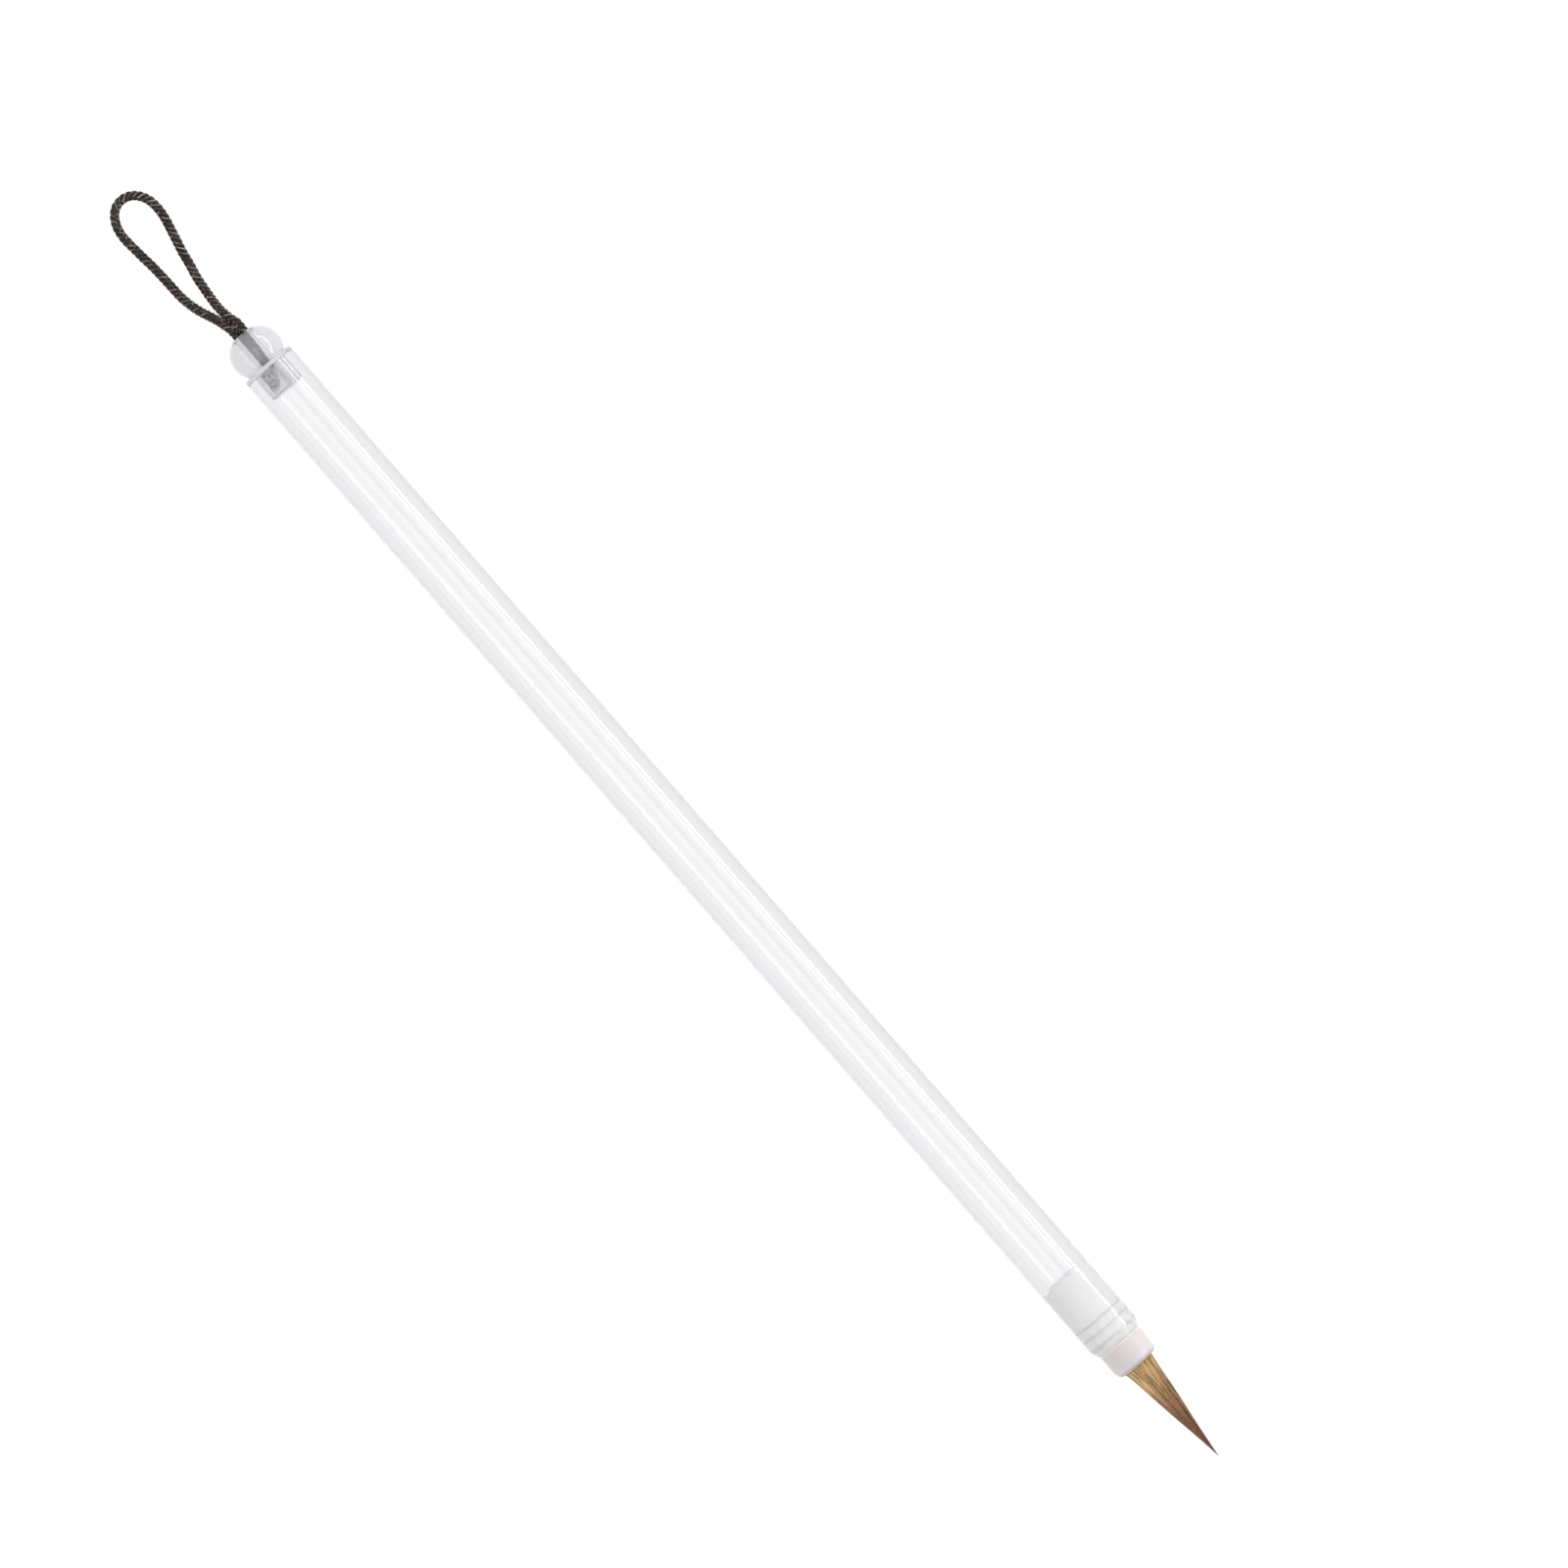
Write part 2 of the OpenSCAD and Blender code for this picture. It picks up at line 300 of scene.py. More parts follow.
class ShaderTree(NodeTree):
    """A material's node tree."""

    def __init__(self, name: str) -> None:
        """Makes an empty material."""
        self.material = bpy.data.materials.new(name)
        self.material.use_nodes = True
        super().__init__(self.material.node_tree)

    def place(self) -> Socket:
        """The point's place in the piece, which is its place on the brush."""
        return self.node("ShaderNodeTexCoord", output="Object")

    def attribute(self, name: str) -> Socket:
        """A value that the piece keeps at each point."""
        return self.node("ShaderNodeAttribute", {"attribute_name": name}, output="Fac")

    def split(self, vector: Socket) -> Socket:
        """A vector's X. Its Y and Z are other outputs."""
        return self.node("ShaderNodeSeparateXYZ", {}, {0: vector})

    def noise(
        self, vector: Socket, scale: float, detail: float = 2.0, rough: float = 0.5
    ) -> Socket:
        """Smooth noise from 0 to 1."""
        sockets = {"Vector": vector, "Scale": scale, "Detail": detail, "Roughness": rough}
        return self.node("ShaderNodeTexNoise", {}, sockets)

    def stretch(self, vector: Socket, x: float, y: float, z: float) -> Socket:
        """A vector with each axis scaled by itself."""
        return self.vector("MULTIPLY", vector, (x, y, z))

    def mix(self, share: Any, a: Any, b: Any) -> Socket:
        """Colour a where share is 0 and b where it is 1."""
        return self.node("ShaderNodeMix", {"data_type": "RGBA"}, {0: share, 6: a, 7: b}, 2)

    def shade(self, colour: Any, amount: Socket) -> Socket:
        """A colour times a number."""
        return self.vector("SCALE", colour, scale=amount)

    def blend(self, value: Socket, stops: Sequence[tuple[float, Colour]]) -> Socket:
        """A colour that changes with value through the stops."""
        return self.node("ShaderNodeValToRGB", {"stops": stops}, {"Fac": value})

    def bump(self, height: Socket, strength: float, distance: float) -> Socket:
        """A normal that leans with height."""
        sockets = {"Height": height, "Strength": strength, "Distance": distance}
        return self.node("ShaderNodeBump", {}, sockets)

    def close(self, sockets: dict[str, Any], depth: tuple[Colour, float] | None = None) -> Material:
        """Ends the tree in a surface shader.

        Args:
            sockets: the shader's values and links, by name.
            depth: the colour and density that the inside takes light away with.

        Returns:
            The material.
        """
        shader = self.node("ShaderNodeBsdfPrincipled", {}, sockets)
        ends: dict[str, Any] = {"Surface": shader}
        if depth is not None:
            inside = {"Color": depth[0], "Density": depth[1]}
            ends["Volume"] = self.node("ShaderNodeVolumeAbsorption", {}, inside)
        self.node("ShaderNodeOutputMaterial", {}, ends)
        return self.material


# ---------------------------------------------------------------- Turned pieces


@dataclass
class Outline:
    """Half outline of a turned piece, as distances along the brush and radii."""

    given: list[tuple[float, float, float]] = field(default_factory=list)
    arc_steps: int = 5
    guard: float = 0.12 * MM

    def corners(self, *corners: tuple[float, float, float]) -> "Outline":
        """Adds corners, each with its own fillet.

        Args:
            corners: distance, radius and fillet of each corner, in order.

        Returns:
            The outline itself.
        """
        self.given.extend(corners)
        return self

    def curve(self, points: Sequence[tuple[float, float]]) -> "Outline":
        """Adds a stretch that is already smooth."""
        return self.corners(*((x, r, 0.0) for x, r in points))

    def close(self, ring: bool) -> list[tuple[float, float]]:
        """Rounds the corners and guards each straight stretch with points near its ends.

        Args:
            ring: the last corner joins the first, as on a tube.

        Returns:
            The points of the finished outline.
        """
        count = len(self.given)
        points: list[tuple[float, float]] = []
        for i, (x, r, fillet) in enumerate(self.given):
            if fillet <= 0 or not (ring or 0 < i < count - 1):
                points.append((x, r))
                continue
            before, after = self.given[i - 1][:2], self.given[(i + 1) % count][:2]
            points.extend(self._arc(Vector((x, r)), Vector(before), Vector(after), fillet))
        return self._guarded(points, ring)

    def _arc(
        self, at: Vector, before: Vector, after: Vector, fillet: float
    ) -> list[tuple[float, float]]:
        """Points round one corner."""
        u, v = (before - at).normalized(), (after - at).normalized()
        half = u.angle(v) / 2
        reach = fillet / math.tan(half)
        centre = at + (u + v).normalized() * (fillet / math.sin(half))
        start, end = at + u * reach - centre, at + v * reach - centre
        turn = start.angle(end)
        made = []
        for i in range(self.arc_steps + 1):
            t = i / self.arc_steps
            mixed = (start * math.sin((1 - t) * turn) + end * math.sin(t * turn)) / math.sin(turn)
            made.append(tuple(centre + mixed))
        return made

    def _guarded(self, points: list[tuple[float, float]], ring: bool) -> list[tuple[float, float]]:
        """The outline with a point near both ends of each long straight stretch."""
        made: list[tuple[float, float]] = []
        count = len(points)
        for i, point in enumerate(points):
            made.append(point)
            if i == count - 1 and not ring:
                break
            a, b = Vector(point), Vector(points[(i + 1) % count])
            span = (b - a).length
            if span > 4 * self.guard:
                step = (b - a) * (self.guard / span)
                made += [tuple(a + step), tuple(b - step)]
        return made


def add_mesh(name: str, points: Sequence[Point], faces: Sequence[Sequence[int]]) -> Piece:
    """Makes a smooth-shaded piece of points and faces, at the origin."""
    mesh = bpy.data.meshes.new(name)
    mesh.from_pydata(list(points), [], [tuple(f) for f in faces])
    mesh.polygons.foreach_set("use_smooth", [True] * len(mesh.polygons))
    mesh.validate()
    piece = bpy.data.objects.new(name, mesh)
    bpy.context.scene.collection.objects.link(piece)
    return piece


def tube_faces(rings: int, sides: int) -> list[tuple[int, ...]]:
    """Faces that join rings of points in order, with one flat face over each end."""
    faces: list[tuple[int, ...]] = []
    for i in range(rings - 1):
        low, high = i * sides, (i + 1) * sides
        for k in range(sides):
            n = (k + 1) % sides
            faces.append((low + k, low + n, high + n, high + k))
    first, last = range(sides), range((rings - 1) * sides, rings * sides)
    return [*faces, tuple(reversed(first)), tuple(last)]


def turned(
    name: str, outline: Sequence[tuple[float, float]], axis_z: float, ring: bool = True, sides: int = 128
) -> Piece:
    """Turns an outline round the brush's axis.

    Args:
        name: the piece's name.
        outline: distances along X and radii. The solid lies to the left of its direction.
        axis_z: the axis's height.
        ring: the outline is a closed ring. Otherwise it runs from the axis to the axis.
        sides: how many flats approach the round.

    Returns:
        The piece, closed and facing outwards.
    """
    points: list[Point] = []
    rings: list[list[int]] = []
    for x, r in outline:
        if r < ON_AXIS:
            rings.append([len(points)])
            points.append((x, 0.0, axis_z))
            continue
        rings.append(list(range(len(points), len(points) + sides)))
        for k in range(sides):
            a = 2 * math.pi * k / sides
            points.append((x, r * math.cos(a), axis_z + r * math.sin(a)))
    faces: list[list[int]] = []
    pairs = list(zip(rings, rings[1:] + rings[:1] if ring else rings[1:]))
    for low, high in pairs:
        for k in range(sides):
            n = (k + 1) % sides
            start, far = low[k % len(low)], high[k % len(high)]
            corner = [start, far, high[n % len(high)], low[n % len(low)]]
            faces.append(list(dict.fromkeys(corner)))
    piece = add_mesh(name, points, faces)
    face_outwards(piece)
    return piece


def face_outwards(piece: Piece) -> None:
    """Turns a closed piece's faces out, by the sign of the volume that they enclose."""
    made = bmesh.new()
    made.from_mesh(piece.data)
    if made.calc_volume(signed=True) < 0:
        bmesh.ops.reverse_faces(made, faces=made.faces)
    made.to_mesh(piece.data)
    made.free()


def dress(piece: Piece, material: Material) -> None:
    """Gives a piece its only material."""
    piece.data.materials.clear()
    piece.data.materials.append(material)


# ---------------------------------------------------------------- Places


@dataclass(frozen=True)
class Places:
    """Where the brush's pieces are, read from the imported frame. Distances are along X."""

    axis_z: float
    handle_r: float
    bore_r: float
    mouth_x: float
    tube_end_x: float
    crown_x: float
    ball_r: float
    stub_end_x: float
    spigot_x: float
    collar_r: float
    hair_x: float
    hair_r: float
    tip_x: float
    pivot_x: float

    @classmethod
    def read(cls) -> "Places":
        """Reads the places from the frame's boxes and joints."""
        tube, plug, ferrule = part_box("handle_tube"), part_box("end_plug"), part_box("ferrule")
        mantle, core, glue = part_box("tuft_mantle"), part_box("tuft_core"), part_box("spigot_adhesive")
        pivots = {j["name"]: j["pos_m"] for j in frame["joints"] if "pos_m" in j}
        return cls(
            axis_z=(tube[0].z + tube[1].z) / 2,
            handle_r=tube[1].y,
            bore_r=glue[1].y,
            mouth_x=tube[0].x,
            tube_end_x=tube[1].x,
            crown_x=plug[0].x,
            ball_r=plug[1].y,
            stub_end_x=plug[1].x,
            spigot_x=ferrule[0].x,
            collar_r=ferrule[1].y,
            hair_x=pivots["tuft_flex"][0],
            hair_r=mantle[1].y,
            tip_x=core[1].x,
            pivot_x=pivots["loop_swing"][0],
        )


# ---------------------------------------------------------------- Finishes


@dataclass(frozen=True)
class ClearAcrylic:
    """Polished clear acrylic tube, with faint lines of extrusion and a matt cut at its mouth.

    The cut has a painted glow, an emission that stands in for the light that the wall carries to it.
    """

    places: Places
    depth_colour: Colour = (0.5, 0.505, 0.56)
    depth_density: float = 100.0
    roughness: float = 0.015
    cut_roughness: float = 0.5
    cut_length: float = 0.6 * MM
    # strength of the painted glow on the cut
    painted_cut_glow: float = 0.2
    line_height: float = 0.01

    def material(self) -> Material:
        """Builds the material."""
        t = ShaderTree("clear_acrylic")
        place = t.place()
        cut_end = self.places.mouth_x + self.cut_length
        cut = 1 - t.ramp(t.split(place), cut_end - 0.1 * MM, cut_end + 0.1 * MM)
        lines = t.noise(t.stretch(place, 0.2, 400, 400), 1.0, 1.0)
        dust = t.noise(place, 420, 3.0, 0.6)
        rough = self.roughness + t.ramp(dust, 0.62, 0.8) * 0.02 + cut * self.cut_roughness
        normal = t.bump(lines, self.line_height, 0.004 * MM)
        return t.close(
            {
                "Base Color": (1, 1, 1),
                "Roughness": rough,
                "IOR": 1.49,
                "Transmission Weight": 1.0,
                # painted glow: the cut's emission stands in for light that the wall carries to it
                "Emission Color": t.mix(cut, (0.0, 0.0, 0.0), (self.painted_cut_glow,) * 3),
                "Emission Strength": 1.0,
                "Normal": normal,
            },
            (self.depth_colour, self.depth_density),
        )


@dataclass(frozen=True)
class ClearPlastic:
    """Moulded plastic of the plug, clear with a little haze and soft flow lines."""

    haze_colour: Colour = (0.88, 0.88, 0.9)
    clearness: float = 0.91
    depth_colour: Colour = (0.77, 0.775, 0.8)
    depth_density: float = 100.0
    roughness: float = 0.03

    def material(self) -> Material:
        """Builds the material."""
        t = ShaderTree("clear_plastic")
        place = t.place()
        flow = t.noise(t.stretch(place, 120, 260, 260), 1.0, 2.0)
        rub = t.noise(place, 1500, 2.0)
        rough = self.roughness + rub * 0.05
        return t.close(
            {
                "Base Color": self.haze_colour,
                "Roughness": rough,
                "IOR": 1.5,
                "Transmission Weight": self.clearness,
                "Normal": t.bump(flow, 0.1, 0.02 * MM),
            },
            (self.depth_colour, self.depth_density),
        )


@dataclass(frozen=True)
class MilkyPlastic:
    """Milky translucent plastic of the ferrule, pinker in the thick collar.

    The spigot has a faint painted glow, an emission that stands in for the light it gathers through the
    clear wall round it.
    """

    places: Places
    spigot: Colour = (0.96, 0.96, 0.94)
    collar: Colour = (0.57, 0.53, 0.525)
    # colour of the painted highlight on the collar's rounded end, a faint bluish band
    rim_painted_highlight: Colour = (0.55, 0.53, 0.55)
    # colour of the painted shade at the lip round the hair
    mouth: Colour = (0.4, 0.38, 0.38)
    # strength of the painted glow on the spigot
    painted_spigot_glow: float = 0.14

    def material(self) -> Material:
        """Builds the material."""
        t = ShaderTree("milky_plastic")
        at, place = self.places, t.place()
        along = t.split(place)
        clouds = t.noise(t.stretch(place, 300, 500, 500), 1.0, 3.0)
        on_collar = t.ramp(along, at.tube_end_x - 0.2 * MM, at.tube_end_x + 0.3 * MM)
        colour = t.mix(on_collar, self.spigot, self.collar)
        # painted highlight: a faint bluish band round the collar's rounded end
        rim_painted_highlight = t.ramp(along, at.hair_x - 1.5 * MM, at.hair_x - 1.0 * MM)
        colour = t.mix(rim_painted_highlight, colour, self.rim_painted_highlight)
        # painted shade: the collar darkens towards the lip where the hair goes in
        mouth = t.ramp(along, at.hair_x - 0.75 * MM, at.hair_x - 0.25 * MM)
        colour = t.mix(mouth, colour, self.mouth)
        colour = t.shade(colour, 0.96 + clouds * 0.08)
        return t.close(
            {
                "Base Color": colour,
                "Roughness": 0.3 + clouds * 0.12,
                "IOR": 1.49,
                "Subsurface Weight": 0.75,
                "Subsurface Radius": (1.0, 0.85, 0.8),
                "Subsurface Scale": 1.2 * MM,
                # painted glow on the spigot, in place of light gathered through the clear wall
                "Emission Color": t.mix(on_collar, (self.painted_spigot_glow,) * 3, (0.0, 0.0, 0.0)),
                "Emission Strength": 1.0,
                "Normal": t.bump(clouds, 0.15, 0.02 * MM),
            }
        )


@dataclass(frozen=True)
class BraidedYarn:
    """Dark brown yarn with painted light: lighter on each yarn's crest and darker in the creases, bright
    painted glints on the crests, and a lighter grey-blue inside the plug for the light that the plug's
    haze scatters over it.
    """

    places: Places
    dark: Colour = (0.007, 0.004, 0.003)
    # the lighter yarn tone, which also carries the painted light on each yarn's crest
    light: Colour = (0.032, 0.019, 0.015)
    # colour of the painted glints on the yarn crests
    painted_glint: Colour = (0.34, 0.3, 0.27)
    # colour painted on the cord inside the plug, for the light that the plug's haze scatters over it
    painted_haze_light: Colour = (0.24, 0.25, 0.28)

    def material(self) -> Material:
        """Builds the material."""
        t = ShaderTree("braided_yarn")
        along, around = t.attribute("along"), t.attribute("around")
        thread = t.join(along * 420, around * 9, t.attribute("strand") * 3.7)
        filaments = t.noise(t.join(along * 700, around * 26, t.attribute("strand") * 3.7), 1.0, 2.0)
        patches = t.noise(thread, 1.0, 2.0)
        # painted light: each yarn is lighter on its crest and darker in the creases between yarns
        painted_crest_light = t.math("COSINE", around * (2 * math.pi))
        colour = t.mix(t.ramp(filaments * 0.6 + painted_crest_light * 0.5, 0.3, 0.85), self.dark, self.light)
        # painted glints: bright specks on the yarn crests, where the roughness is also lower
        painted_glints = t.ramp(filaments * patches, 0.27, 0.35) * t.ramp(painted_crest_light, 0.4, 0.9)
        colour = t.mix(painted_glints, colour, self.painted_glint)
        # painted light: the cord inside the plug is drawn lighter grey-blue, standing in for light
        # scattered by the plug's haze
        crown = self.places.crown_x
        in_plug_painted_haze = t.ramp(t.split(t.place()), crown + 0.3 * MM, crown + 1.1 * MM)
        colour = t.mix(in_plug_painted_haze, colour, self.painted_haze_light)
        return t.close(
            {
                "Base Color": colour,
                "Roughness": 0.62 - painted_glints * 0.2,
                "Specular IOR Level": 0.25,
                "Sheen Weight": 0.03,
                "Sheen Roughness": 0.4,
                "Normal": t.bump(filaments, 0.8, 0.04 * MM),
            }
        )


@dataclass(frozen=True)
class MeltedCord:
    """The cord's melted and frayed ends: grey and glassy, with near-white specks painted in as glints.
    """

    dark: Colour = (0.2, 0.205, 0.23)
    # near-white colour of the painted glints
    light: Colour = (0.95, 0.95, 0.97)

    def material(self) -> Material:
        """Builds the material."""
        t = ShaderTree("melted_cord")
        place = t.place()
        crumple = t.noise(t.stretch(place, 1500, 2600, 2600), 1.0, 3.0, 0.6)
        fleck = t.noise(t.stretch(place, 2200, 3800, 3800), 1.0, 1.0)
        # painted glints: sparse near-white specks on the crumpled melt
        painted_glints = t.ramp(fleck + crumple * 0.5, 0.66, 0.76)
        return t.close(
            {
                "Base Color": t.mix(painted_glints, self.dark, self.light),
                "Roughness": 0.35 + crumple * 0.3,
                "Normal": t.bump(crumple, 0.7, 0.08 * MM),
            }
        )


@dataclass(frozen=True)
class SetAdhesive:
    """Set clear adhesive with small bubbles."""

    colour: Colour = (0.93, 0.92, 0.9)

    def material(self) -> Material:
        """Builds the material."""
        t = ShaderTree("set_adhesive")
        bubbles = t.noise(t.place(), 2600, 2.0)
        return t.close(
            {
                "Base Color": t.shade(self.colour, 0.9 + bubbles * 0.15),
                "Roughness": 0.18 + bubbles * 0.15,
                "Normal": t.bump(bubbles, 0.3, 0.02 * MM),
            }
        )


@dataclass(frozen=True)
class Hair:
    """Fine animal hair, coloured along its length and a little different from hair to hair."""

    name: str
    stops: tuple[tuple[float, Colour], ...]
    axis_z: float
    spread: float = 0.5

    def material(self) -> Material:
        """Builds the material."""
        t = ShaderTree(self.name)
        along, tone, place = t.attribute("along"), t.attribute("tone"), t.split(t.place())
        colour = t.blend(along, self.stops)
        streak = t.noise(t.join(along * 5, tone * 40, 0.0), 1.0, 2.0)
        around = t.math("ARCTAN2", place["Z"] - self.axis_z, place["Y"])
        clumps = t.noise(t.join(along * 2.5, around * 7, 0.0), 1.0, 3.0, 0.7)
        lightness = (1 - self.spread / 2) + tone * self.spread
        fine = t.noise(t.join(along * 1.5, around * 24, 3.0), 1.0, 2.0)
        lightness = lightness * (0.42 + t.ramp(fine, 0.35, 0.46) * 0.63)
        lightness = lightness * (0.8 + streak * 0.4) * (0.32 + t.ramp(clumps, 0.36, 0.6) * 0.85)
        colour = t.shade(colour, lightness)
        return t.close(
            {
                "Base Color": colour,
                "Roughness": 0.38 + streak * 0.15,
                "Sheen Weight": 0.1,
            }
        )


OUTER_HAIR = (
    (0.0, (0.76, 0.53, 0.26)),
    (0.2, (0.66, 0.41, 0.18)),
    (0.45, (0.36, 0.175, 0.075)),
    (0.7, (0.29, 0.11, 0.042)),
    (0.9, (0.2, 0.065, 0.022)),
)
INNER_HAIR = (
    (0.0, (0.55, 0.36, 0.16)),
    (0.3, (0.4, 0.21, 0.08)),
    (0.6, (0.28, 0.105, 0.036)),
    (0.85, (0.2, 0.062, 0.022)),
    (1.0, (0.045, 0.035, 0.035)),
)


@dataclass(frozen=True)
class CottonThread:
    """Wound cotton thread, twisted from fine fibres."""

    colour: Colour = (0.68, 0.62, 0.5)

    def material(self) -> Material:
        """Builds the material."""
        t = ShaderTree("cotton_thread")
        twist = t.noise(t.stretch(t.place(), 5200, 2400, 2400), 1.0, 2.0)
        return t.close(
            {
                "Base Color": t.shade(self.colour, 0.75 + twist * 0.5),
                "Roughness": 0.8,
                "Sheen Weight": 0.3,
                "Normal": t.bump(twist, 0.6, 0.03 * MM),
            }
        )


@dataclass(frozen=True)
class StudioWhite:
    """The pale floor, lit evenly so that its shadows stay soft."""

    glow: float = 0.97
    paper: Colour = (0.05, 0.05, 0.05)

    def material(self) -> Material:
        """Builds the material."""
        t = ShaderTree("studio_floor")
        return t.close(
            {
                "Base Color": self.paper,
                "Roughness": 1.0,
                "Specular IOR Level": 0.0,
                "Emission Color": (1, 1, 1),
                "Emission Strength": self.glow,
            }
        )


# ---------------------------------------------------------------- Studio


@dataclass
class Studio:
    """Pale floor, soft light and the camera above the brush, turned so that the brush lies aslant."""

    turn: float = math.radians(48.92)
    aim: Point = (-7.6 * MM, 17.7 * MM, 0.0)
    frame_width: float = 244.5 * MM
    lens: float = 250.0
    sensor: float = 36.0
    floor_size: float = 3.0
    sky: float = 0.8
    # Each lamp's name, place, width and height, and power in watts
    lamps: tuple[tuple[str, Point, tuple[float, float], float], ...] = (
        ("key", (0.0, 0.97, 0.7), (3.0, 0.8), 6.0),
        ("strip", (0.0, 1.11, 0.45), (3.0, 0.2), 10.0),
        ("fill", (0.0, -0.95, 0.8), (3.0, 0.8), 5.0),
        ("top", (0.0, -0.2, 1.7), (1.6, 1.2), 5.0),
    )

    def camera(self) -> None:
        """Hangs the camera straight above the brush."""
        data = bpy.data.cameras.new("camera")
        data.lens, data.sensor_width = self.lens, self.sensor
        camera = bpy.data.objects.new("camera", data)
        bpy.context.scene.collection.objects.link(camera)
        height = self.frame_width * self.lens / self.sensor
        camera.location = Vector(self.aim) + Vector((0, 0, height))
        camera.rotation_euler = (0, 0, self.turn)
        data.clip_start, data.clip_end = 0.01, 20
        bpy.context.scene.camera = camera

    def floor(self) -> None:
        """Lays the floor."""
        half = self.floor_size / 2
        corners = [(-half, -half, 0.0), (half, -half, 0.0), (half, half, 0.0), (-half, half, 0.0)]
        floor = add_mesh("floor", corners, [(0, 1, 2, 3)])
        dress(floor, StudioWhite().material())

    def lamp(self, name: str, place: Point, size: tuple[float, float], power: float) -> None:
        """Hangs one soft box that faces the brush.

        Args:
            name: the lamp's name.
            place: where it hangs.
            size: its width and height.
            power: in watts.
        """
        data = bpy.data.lights.new(name, "AREA")
        data.shape, data.size, data.size_y, data.energy = "RECTANGLE", *size, power
        lamp = bpy.data.objects.new(name, data)
        bpy.context.scene.collection.objects.link(lamp)
        lamp.location = place
        lamp.rotation_euler = (-Vector(place)).to_track_quat("-Z", "Y").to_euler()

    def light(self) -> None:
        """Sets an even sky and hangs the lamps."""
        world = bpy.data.worlds.new("studio")
        world.use_nodes = True
        world.node_tree.nodes["Background"].inputs["Color"].default_value = (1, 1, 1, 1)
        world.node_tree.nodes["Background"].inputs["Strength"].default_value = self.sky
        bpy.context.scene.world = world
        for lamp in self.lamps:
            self.lamp(*lamp)
        bpy.context.scene.view_settings.view_transform = "Standard"


# ---------------------------------------------------------------- Cord


class BraidTree(GeometryTree):
    """A round braid of eight yarns along a line: four each way, over two and under two."""

    YARNS = 8

    def __init__(self) -> None:
        """Builds the tree."""
        super().__init__("braid")
        lead = self.size("Lead", 3.5 * MM)
        steps = self.size("Steps Per Lead", 24)
        radius = self.size("Braid Radius", 0.5 * MM)
        depth = self.size("Weave Depth", 0.12 * MM)
        width = self.size("Yarn Width", 0.62 * MM)
        thickness = self.size("Yarn Thickness", 0.34 * MM)
        middle = self.size("Core Radius", 0.42 * MM)
        line = self.node("GeometryNodeMeshToCurve", {}, {"Mesh": self.given("Geometry")})
        line = self.node(
            "GeometryNodeResampleCurve", {"mode": "LENGTH"}, {"Curve": line, "Length": lead / steps}
        )
        sockets = {"Geometry": line, "Amount": self.YARNS}
        yarns = self.node("GeometryNodeDuplicateElements", {"domain": "SPLINE"}, sockets)
        yarns = self._woven(yarns, yarns["Duplicate Index"], lead, radius, depth)
        core = self._swept(line, 10, middle * 2, middle * 2)
        self.close(self._swept(yarns, 8, thickness, width), core)

    def _woven(
        self, yarns: Socket, index: Socket, lead: Socket, radius: Socket, depth: Socket
    ) -> Socket:
        """Winds each copy of the line round it as one yarn.

        Args:
            yarns: the copies.
            index: each copy's number.
            lead: how far a yarn goes for one turn.
            radius: the yarns' middle radius.
            depth: how far they rise and sink as they cross.

        Returns:
            The wound yarns, each keeping its way along, its number and which way is out.
        """
        half = self.YARNS // 2
        way = 1 - 2 * (index > half - 0.5)
        place = self.math("MODULO", index, half)
        along = self.node("GeometryNodeSplineParameter", output="Length")
        crossing = along * (self.YARNS / lead)
        rise = self.math("COSINE", (way * crossing + 2 * place - 0.5) * (math.pi / 2))
        reach = radius + way * depth * rise
        angle = way * along * (2 * math.pi / lead) + place * (math.pi / 2)
        side = self.node("GeometryNodeInputNormal")
        ahead = self.node("GeometryNodeInputTangent")
        up = self.vector("CROSS_PRODUCT", ahead, side)
        out = self.vector(
            "ADD",
            self.vector("SCALE", side, scale=self.math("COSINE", angle)),
            self.vector("SCALE", up, scale=self.math("SINE", angle)),
        )
        yarns = self.store(yarns, "out", out, Kept.VECTOR)
        yarns = self.store(yarns, "along", along)
        yarns = self.store(yarns, "strand", index * 1.0)
        out = self.attribute("out", Kept.VECTOR)
        yarns = self.store(yarns, "reach", reach)
        shift = self.vector("SCALE", out, scale=self.attribute("reach"))
        yarns = self.node("GeometryNodeSetPosition", {}, {"Geometry": yarns, "Offset": shift})
        return self.node(
            "GeometryNodeSetCurveNormal", {"mode": "FREE"}, {"Curve": yarns, "Normal": out}
        )

    def _swept(self, curves: Socket, sides: int, across: Socket, wide: Socket) -> Socket:
        """Sweeps an oval along curves, its short way out and its long way across."""
        ring = self.node("GeometryNodeCurvePrimitiveCircle", {}, {"Resolution": sides, "Radius": 0.5})
        around = self.node("GeometryNodeSplineParameter")
        ring = self.store(ring, "around", around)
        scale = self.join(across, wide, 1.0)
        oval = self.node("GeometryNodeTransform", {}, {"Geometry": ring, "Scale": scale})
        return self.node(
            "GeometryNodeCurveToMesh", {}, {"Curve": curves, "Profile Curve": oval, "Fill Caps": True}
        )


